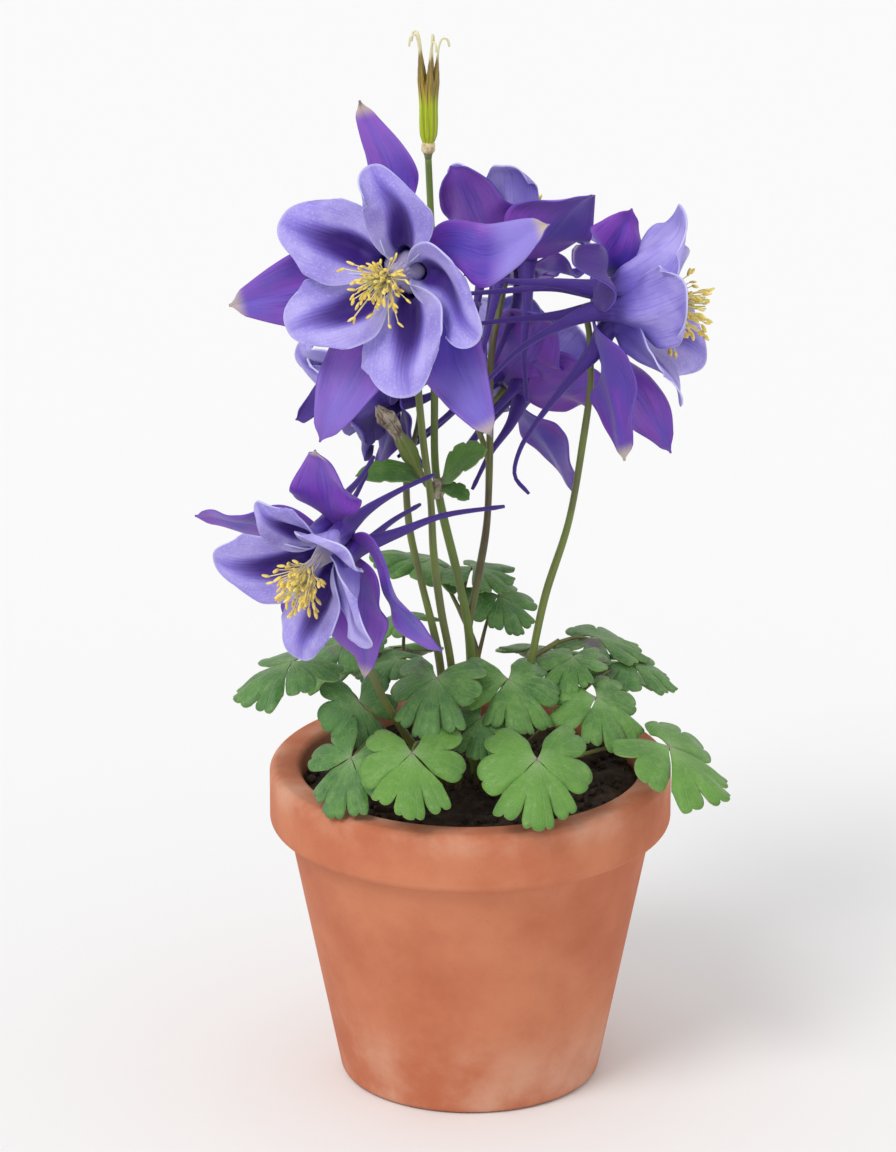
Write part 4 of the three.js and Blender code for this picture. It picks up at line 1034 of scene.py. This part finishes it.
def lay_bud(bm):
    """A withered bud: a ribbed green body, a crumpled dry end with a frayed tip, and a sheath at its node."""
    base, tip, radius = Vector(BUD["base"]), Vector(BUD["tip"]), BUD["radius"]
    way = (tip - base).normalized()
    side = way.orthogonal().normalized()
    other = way.cross(side)
    profile = ((0, 0.7), (0.12, 1.2), (0.34, 2.35), (0.48, 2.1),
               (0.6, 1.45), (0.72, 1.75), (0.87, 2.2), (1, 0.5))
    rows = 60

    def place(around, row):
        share = max(0.02, row / rows)
        thin, thick, part = between(profile, share)
        out = mix(thin, thick, smooth(part, 0, 1)) * radius / 3
        angle = 2 * pi * around
        dry = smooth(share, 0.55, 0.75)
        out *= 1 + mix(0.07, 0.2, dry) * cos(5 * angle + 3.5 * share)
        out *= 1 + mix(0.03, 0.12, dry) * cos(11 * angle - 9 * share)
        if row in (0, rows):
            out, dry = 0, 0
        bow = Vector((0.6, 0, 0.4)) * sin(pi * share)
        fray = way * dry * smooth(share, 0.85, 1.0) * 1.2 * cos(7 * angle)
        centre = base.lerp(tip, share) + bow
        return centre + (side * cos(angle) + other * sin(angle)) * out + fray, (around, share)

    close(bm, skin(bm, 60, rows, place))
    sheath = Route([(-9.1, 4.9, 161.6), (-8.9, 4.8, 164), (-8.4, 4.2, 167)])
    skirt = finer([(0, 1.35), (0.2, 1.75), (0.45, 1.95), (0.7, 1.75), (1, 1.3)], 4)
    start = len(bm.faces)
    sweep(bm, sheath, skirt, 40, ridge=0.13, ridges=7)
    uv = bm.loops.layers.uv["shape"]
    bm.faces.ensure_lookup_table()
    for face in bm.faces[start:]:
        for loop in face.loops:
            loop[uv].uv.y = mix(0.75, 1.0, loop[uv].uv.y)


# Add-on classes


AIM = Vector((-0.006, 0, 0.1412))  # The point that the camera looks at, in metres


def size(name, description, default, low=0.0):
    return FloatProperty(name=name, description=description, default=default, min=low, unit="LENGTH")


def tint(name, description, colour):
    return FloatVectorProperty(
        name=name, description=description, subtype="COLOR", size=4, min=0, max=1, default=colour)


class PlantSizes(bpy.types.PropertyGroup):
    petal_width: size("Petal Width", "Width of a petal's blade", 0.0235, 0.01)
    sepal_width: size("Sepal Width", "Width of a sepal's blade", 0.0192, 0.005)
    blade: size("Petal Thickness", "Thickness of petals and sepals", 0.00045, 0.0002)
    leaf: size("Leaf Thickness", "Thickness of leaf blades", 0.00045, 0.0002)
    stem_radius: size("Stem Radius", "Radius of a flower stem at its foot", 0.00135)
    stalk_radius: size("Leaf Stalk Radius", "Radius of a leaf stalk at its foot", 0.00095)
    stamens: IntProperty(name="Stamens", description="Stamens in a bloom", default=80, min=5, max=90)
    crumbs: IntProperty(name="Soil Crumbs", description="Loose crumbs on the soil", default=420, min=0)


class PlantColours(bpy.types.PropertyGroup):
    petal_light: tint("Petal Light", "Lightest part of a petal's face", rgb(182, 170, 238))
    petal_mid: tint("Petal", "Main colour of a petal's face", rgb(150, 136, 222))
    petal_deep: tint("Petal Deep", "Streaks and hollows of a petal", rgb(102, 78, 196))
    petal_edge: tint("Petal Edge", "Thin rim of a petal", rgb(202, 200, 244))
    throat: tint("Throat", "Hollow at the heart of a petal", rgb(56, 20, 124))
    spur: tint("Spur", "Long hollow spur", rgb(64, 28, 134))
    sepal_violet: tint("Sepal", "Main colour of a sepal", rgb(98, 70, 182))
    sepal_magenta: tint("Sepal Magenta", "Warm patches of a sepal", rgb(134, 66, 186))
    sepal_blue: tint("Sepal Blue", "Cool streaks along a sepal's middle", rgb(92, 80, 202))
    sepal_dark: tint("Sepal Dark", "Veins and shade of a sepal", rgb(66, 36, 140))
    spent: tint("Spent Tip", "Dry tip of an ageing sepal", rgb(206, 190, 158))
    filament: tint("Filament", "Thread of a stamen", rgb(206, 196, 228))
    anther: tint("Anther", "Pollen sack of a stamen", rgb(250, 230, 128))
    leaf_fresh: tint("Leaf Fresh", "Young leaf", rgb(102, 154, 52))
    leaf_mid: tint("Leaf", "Main colour of a leaf", rgb(96, 144, 60))
    leaf_dark: tint("Leaf Dark", "Shaded and old leaf", rgb(52, 102, 38))
    leaf_blue: tint("Leaf Blue", "Bluish bloom on a leaf", rgb(76, 126, 68))
    leaf_vein: tint("Leaf Vein", "Veins of a leaf", rgb(140, 176, 110))
    stem_green: tint("Stem Green", "Fresh stem", rgb(122, 130, 62))
    stem_brown: tint("Stem Brown", "Ripe stem", rgb(104, 88, 62))
    seed: tint("Seed Head", "Ripening follicle", rgb(188, 204, 20))
    clay: tint("Clay", "Fired clay", rgb(186, 104, 70))
    clay_pale: tint("Clay Pale", "Dry clay", rgb(204, 128, 92))
    soil: tint("Soil", "Potting soil", rgb(42, 31, 24))


class StageSettings(bpy.types.PropertyGroup):
    azimuth: FloatProperty(
        name="Azimuth", description="Side that the camera stands on", default=0.0, subtype="ANGLE")
    elevation: FloatProperty(
        name="Elevation", description="Height of the camera", default=radians(20), subtype="ANGLE")
    distance: size("Distance", "Camera to plant", 2.0)
    lens: FloatProperty(name="Lens", description="Focal length", default=234.4, unit="CAMERA")
    sky: FloatProperty(name="Sky Light", description="Strength of the soft light", default=0.8, min=0)
    key: FloatProperty(name="Key Light", description="Strength of the main light", default=1.3, min=0)


def five(lay):
    """Lays a petal or a sepal five times round the bloom."""
    def lay_all(bm, bloom, sizes):
        for i in range(5):
            lay(bm, bloom, i, sizes)
    return lay_all


def model_blooms(context, kind, lay, finishes):
    """Makes one piece for each bloom, by laying its petals, sepals or stamens in the bloom's own frame."""
    made = []
    for name, bloom in BLOOMS.items():
        bm = new_mesh()
        lay(bm, bloom, context.scene.columbine_sizes)
        bmesh.ops.transform(bm, matrix=bloom_matrix(bloom), verts=bm.verts)
        made.append(finish(bm, f"{kind}s_{name}", finishes, kind, [f"bloom_{name}_{kind}s"]))
    return made


class COLUMBINE_OT_petals(bpy.types.Operator):
    """Model the five spurred petals of each bloom"""

    bl_idname = "columbine.petals"
    bl_label = "Petals"

    def execute(self, context):
        finishes = petal_finishes(context.scene.columbine_colours)
        for piece in model_blooms(context, "petal", five(lay_petal), finishes):
            thicken(piece, context.scene.columbine_sizes.blade)
        return {"FINISHED"}


class COLUMBINE_OT_sepals(bpy.types.Operator):
    """Model the five pointed sepals behind each bloom's petals"""

    bl_idname = "columbine.sepals"
    bl_label = "Sepals"

    def execute(self, context):
        finishes = sepal_finishes(context.scene.columbine_colours)
        for piece in model_blooms(context, "sepal", five(lay_sepal), finishes):
            thicken(piece, context.scene.columbine_sizes.blade)
        return {"FINISHED"}


class COLUMBINE_OT_stamens(bpy.types.Operator):
    """Model the column of stamens in each bloom"""

    bl_idname = "columbine.stamens"
    bl_label = "Stamens"

    def execute(self, context):
        model_blooms(context, "stamen", lay_stamens, stamen_finishes(context.scene.columbine_colours))
        return {"FINISHED"}


class COLUMBINE_OT_stems(bpy.types.Operator):
    """Model the flower stems, their branches and the small leaves on them"""

    bl_idname = "columbine.stems"
    bl_label = "Flower Stems"

    def execute(self, context):
        sizes = context.scene.columbine_sizes
        colours = context.scene.columbine_colours
        thick = sizes.stem_radius / MM
        thin = thick * 0.63
        stem = stem_finish(colours)
        for name, route in STEMS.items():
            bm = new_mesh()
            points = [*rooted(route["foot"]), *route["via"], *neck(route["to"], route.get("neck", NECK))]
            lay_stem(bm, points, thick, thin, 90, 0.42)
            finish(bm, f"stem_{name}", [stem], "stem", [f"stem_{name}"])
        bm = new_mesh()
        main = [*rooted(MAIN["foot"]), *MAIN["via"], *MAIN["seed"], SEED["at"]]
        lay_stem(bm, main, thick + 0.3, thin, 110, 0.6)
        lay_stem(bm, [MAIN["via"][-1], *MAIN["top"], *neck("top")], thick - 0.2, thin, 60, -0.5)
        lay_stem(bm, [*MAIN["back"], *neck("back")], thin, thick * 0.55, 36)
        base, tip = Vector(BUD["base"]), Vector(BUD["tip"])
        lead = base + (base - tip).normalized() * 2
        lay_stem(bm, [BUD["node"], lead, base + (tip - base).normalized() * 0.8], 0.8, 0.72, 14, 0.5)
        finish(bm, "stem_main", [stem], "stem", ["stem_main"])
        bm = new_mesh()
        for i, bract in enumerate(BRACTS):
            lay_bract(bm, bract, i)
        thicken(finish(bm, "stem_leaves", leaf_finishes(colours), "leaf", ["stem_main"]), sizes.leaf)
        return {"FINISHED"}


class COLUMBINE_OT_leaves(bpy.types.Operator):
    """Model the compound basal leaves and their stalks"""

    bl_idname = "columbine.leaves"
    bl_label = "Basal Leaves"

    def execute(self, context):
        sizes = context.scene.columbine_sizes
        colours = context.scene.columbine_colours
        blades, stalk = leaf_finishes(colours), stem_finish(colours)
        for name, frond in FRONDS.items():
            bm = new_mesh()
            lay_stalks(bm, frond, sizes)
            finish(bm, f"stalk_{name}", [stalk], "stem", [f"leaf_{name}"])
            bm = new_mesh()
            for i, group in enumerate(frond["groups"]):
                lay_leaflets(bm, group, f"{name} {i}")
            thicken(finish(bm, f"leaf_{name}", blades, "leaf", [f"leaf_{name}"]), sizes.leaf)
        return {"FINISHED"}


class COLUMBINE_OT_seed_head(bpy.types.Operator):
    """Model the ripening seed head"""

    bl_idname = "columbine.seed_head"
    bl_label = "Seed Head"

    def execute(self, context):
        bm = new_mesh()
        lay_seed_head(bm)
        finish(bm, "seed_head", seed_finishes(context.scene.columbine_colours), "seed", ["seed_head"])
        return {"FINISHED"}


class COLUMBINE_OT_bud(bpy.types.Operator):
    """Model the withered bud"""

    bl_idname = "columbine.bud"
    bl_label = "Withered Bud"

    def execute(self, context):
        bm = new_mesh()
        lay_bud(bm)
        finish(bm, "withered_bud", [bud_finish()], "bud", ["withered_bud"])
        return {"FINISHED"}


class COLUMBINE_OT_pot(bpy.types.Operator):
    """Spin the clay pot and drill its drain holes"""

    bl_idname = "columbine.pot"
    bl_label = "Pot"

    def execute(self, context):
        bm = new_mesh()
        ring = [bmesh.ops.create_vert(bm, co=(out, 0, up))["vert"][0] for out, up in POT]
        edges = [bm.edges.new(pair) for pair in zip(ring, ring[1:])]
        bmesh.ops.spin(bm, geom=[*ring, *edges], cent=(0, 0, 0), axis=(0, 0, 1), dvec=(0, 0, 0),
                       angle=2 * pi, steps=128, use_merge=True)
        bmesh.ops.remove_doubles(bm, verts=bm.verts, dist=1e-3)
        bmesh.ops.recalc_face_normals(bm, faces=bm.faces)
        sharp = [e for e in bm.edges if len(e.link_faces) == 2 and e.calc_face_angle() > radians(18)]
        bmesh.ops.bevel(bm, geom=sharp, offset=0.7, offset_type="OFFSET", segments=4, profile=0.5,
                        affect="EDGES", material=-1)
        pot = finish(bm, "pot", [clay_finish(context.scene.columbine_colours)], "clay", ["pot"])
        cutters = bmesh.new()
        out, radius = DRAINS["out"] * MM, DRAINS["radius"] * MM
        for i in range(DRAINS["count"]):
            turn = 2 * pi * (i + 0.5) / DRAINS["count"]
            at = Matrix.Translation((out * cos(turn), out * sin(turn), 0))
            bmesh.ops.create_cone(cutters, cap_ends=True, segments=40, radius1=radius, radius2=radius,
                                  depth=15 * MM, matrix=at)
        mesh = bpy.data.meshes.new("drill")
        cutters.to_mesh(mesh)
        cutters.free()
        drill = bpy.data.objects.new("drill", mesh)
        context.scene.collection.objects.link(drill)
        cut = pot.modifiers.new("Drain", "BOOLEAN")
        cut.operation = "DIFFERENCE"
        cut.object = drill
        context.view_layer.update()
        drilled = bpy.data.meshes.new_from_object(pot.evaluated_get(context.evaluated_depsgraph_get()))
        pot.modifiers.clear()
        pot.data = drilled
        bpy.data.objects.remove(drill)
        pot.data.set_sharp_from_angle(angle=radians(35))
        return {"FINISHED"}


class COLUMBINE_OT_soil(bpy.types.Operator):
    """Fill the pot with crumbly soil"""

    bl_idname = "columbine.soil"
    bl_label = "Soil"

    def execute(self, context):
        low, foot, rim = 5.4, 31.4, 44.7
        columns, rows = 160, 46

        def heap(out):
            """The soil is heaped up a little round the plant."""
            return exp(-((out / 13) ** 2))

        def place(around, row):
            angle = 2 * pi * around
            if row == 0:
                out, up = 0.0, low
            elif row == 1:
                out, up = foot, low
            else:
                out = rim * (1 - (row - 2) / (rows - 2))
                up = SOIL_LEVEL - 0.6 * smooth(out, 38, rim)
                x, y = out * cos(angle), out * sin(angle)
                lump = noise.fractal(Vector((x, y, 0)) * 0.16, 0.9, 2.1, 4)
                up += 1.2 * lump + 0.35 * noise.noise(Vector((x, y, 7)) * 1.1)
                up += 1.1 * heap(out)
            return Vector((out * cos(angle), out * sin(angle), up)), (around, row / rows)

        bm = new_mesh()
        close(bm, skin(bm, columns, rows, place), 1e-3)
        draw = random.Random("crumbs")
        for _ in range(context.scene.columbine_sizes.crumbs):
            out, turn = 43 * sqrt(draw.random()), draw.uniform(0, 2 * pi)
            size = draw.uniform(0.35, 1.0) ** 2 * 1.5 + 0.25
            at = Vector((out * cos(turn), out * sin(turn), SOIL_LEVEL + 0.5 + heap(out)))
            lean = Vector([draw.random() for _ in range(3)]).rotation_difference(Vector((0, 0, 1)))
            shape = Matrix.LocRotScale(
                at, lean, Vector((size, size * draw.uniform(0.6, 1), size * draw.uniform(0.5, 0.8))))
            crumb = bmesh.ops.create_icosphere(bm, subdivisions=1, radius=1, matrix=shape)["verts"]
            for vert in crumb:
                vert.co += (vert.co - at) * 0.5 * noise.noise(vert.co * 2.3)
        bmesh.ops.recalc_face_normals(bm, faces=bm.faces)
        finish(bm, "soil", [soil_finish(context.scene.columbine_colours)], "soil", ["soil"])
        return {"FINISHED"}


class COLUMBINE_OT_stage(bpy.types.Operator):
    """Set the pale floor, the soft light and the camera"""

    bl_idname = "columbine.stage"
    bl_label = "Stage"

    def execute(self, context):
        settings = context.scene.columbine_stage
        bm = bmesh.new()
        bmesh.ops.create_circle(bm, cap_ends=True, segments=96, radius=9)
        mesh = bpy.data.meshes.new("floor")
        bm.to_mesh(mesh)
        bm.free()
        mesh.materials.append(Finish("floor", (0.86, 0.86, 0.86, 1.0), 0.9).done())
        floor = bpy.data.objects.new("floor", mesh)
        context.scene.collection.objects.link(floor)
        floor.location.z = -0.0002

        world = bpy.data.worlds.new("studio")
        world.use_nodes = True
        sky = world.node_tree.nodes["Background"]
        sky.inputs["Color"].default_value = (1.0, 1.0, 1.0, 1.0)
        sky.inputs["Strength"].default_value = settings.sky
        context.scene.world = world

        key = bpy.data.objects.new("key", bpy.data.lights.new("key", "SUN"))
        key.data.energy = settings.key
        key.data.angle = radians(25)
        key.rotation_euler = (radians(38), radians(-14), radians(-20))
        context.scene.collection.objects.link(key)

        camera = bpy.data.objects.new("camera", bpy.data.cameras.new("camera"))
        away = direction(degrees(settings.azimuth), degrees(settings.elevation))
        camera.location = AIM + away * settings.distance
        camera.rotation_euler = away.to_track_quat("Z", "Y").to_euler()
        camera.data.lens = settings.lens
        camera.data.clip_end = 50
        context.scene.collection.objects.link(camera)
        context.scene.camera = camera
        context.scene.view_settings.view_transform = "Standard"
        return {"FINISHED"}


class COLUMBINE_PT_panel(bpy.types.Panel):
    """Lists the pieces of the potted columbine with their sizes and colours"""

    bl_idname = "COLUMBINE_PT_panel"
    bl_label = "Potted Columbine"
    bl_space_type = "VIEW_3D"
    bl_region_type = "UI"
    bl_category = "Columbine"

    def draw(self, context):
        for step in STEPS:
            self.layout.operator(step.bl_idname)
        scene = context.scene
        for group in (scene.columbine_sizes, scene.columbine_colours, scene.columbine_stage):
            box = self.layout.box()
            for name in type(group).__annotations__:
                box.prop(group, name)


STEPS = (
    COLUMBINE_OT_pot, COLUMBINE_OT_soil, COLUMBINE_OT_petals, COLUMBINE_OT_sepals, COLUMBINE_OT_stamens,
    COLUMBINE_OT_stems, COLUMBINE_OT_leaves, COLUMBINE_OT_seed_head, COLUMBINE_OT_bud, COLUMBINE_OT_stage,
)
CLASSES = (PlantSizes, PlantColours, StageSettings, *STEPS, COLUMBINE_PT_panel)


def register():
    for cls in CLASSES:
        bpy.utils.register_class(cls)
    bpy.types.Scene.columbine_sizes = PointerProperty(type=PlantSizes)
    bpy.types.Scene.columbine_colours = PointerProperty(type=PlantColours)
    bpy.types.Scene.columbine_stage = PointerProperty(type=StageSettings)


def unregister():
    del bpy.types.Scene.columbine_sizes
    del bpy.types.Scene.columbine_colours
    del bpy.types.Scene.columbine_stage
    for cls in reversed(CLASSES):
        bpy.utils.unregister_class(cls)


def main():
    register()
    for step in STEPS:
        family, name = step.bl_idname.split(".")
        getattr(getattr(bpy.ops, family), name)()
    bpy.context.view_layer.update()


if __name__ == "__main__":
    main()
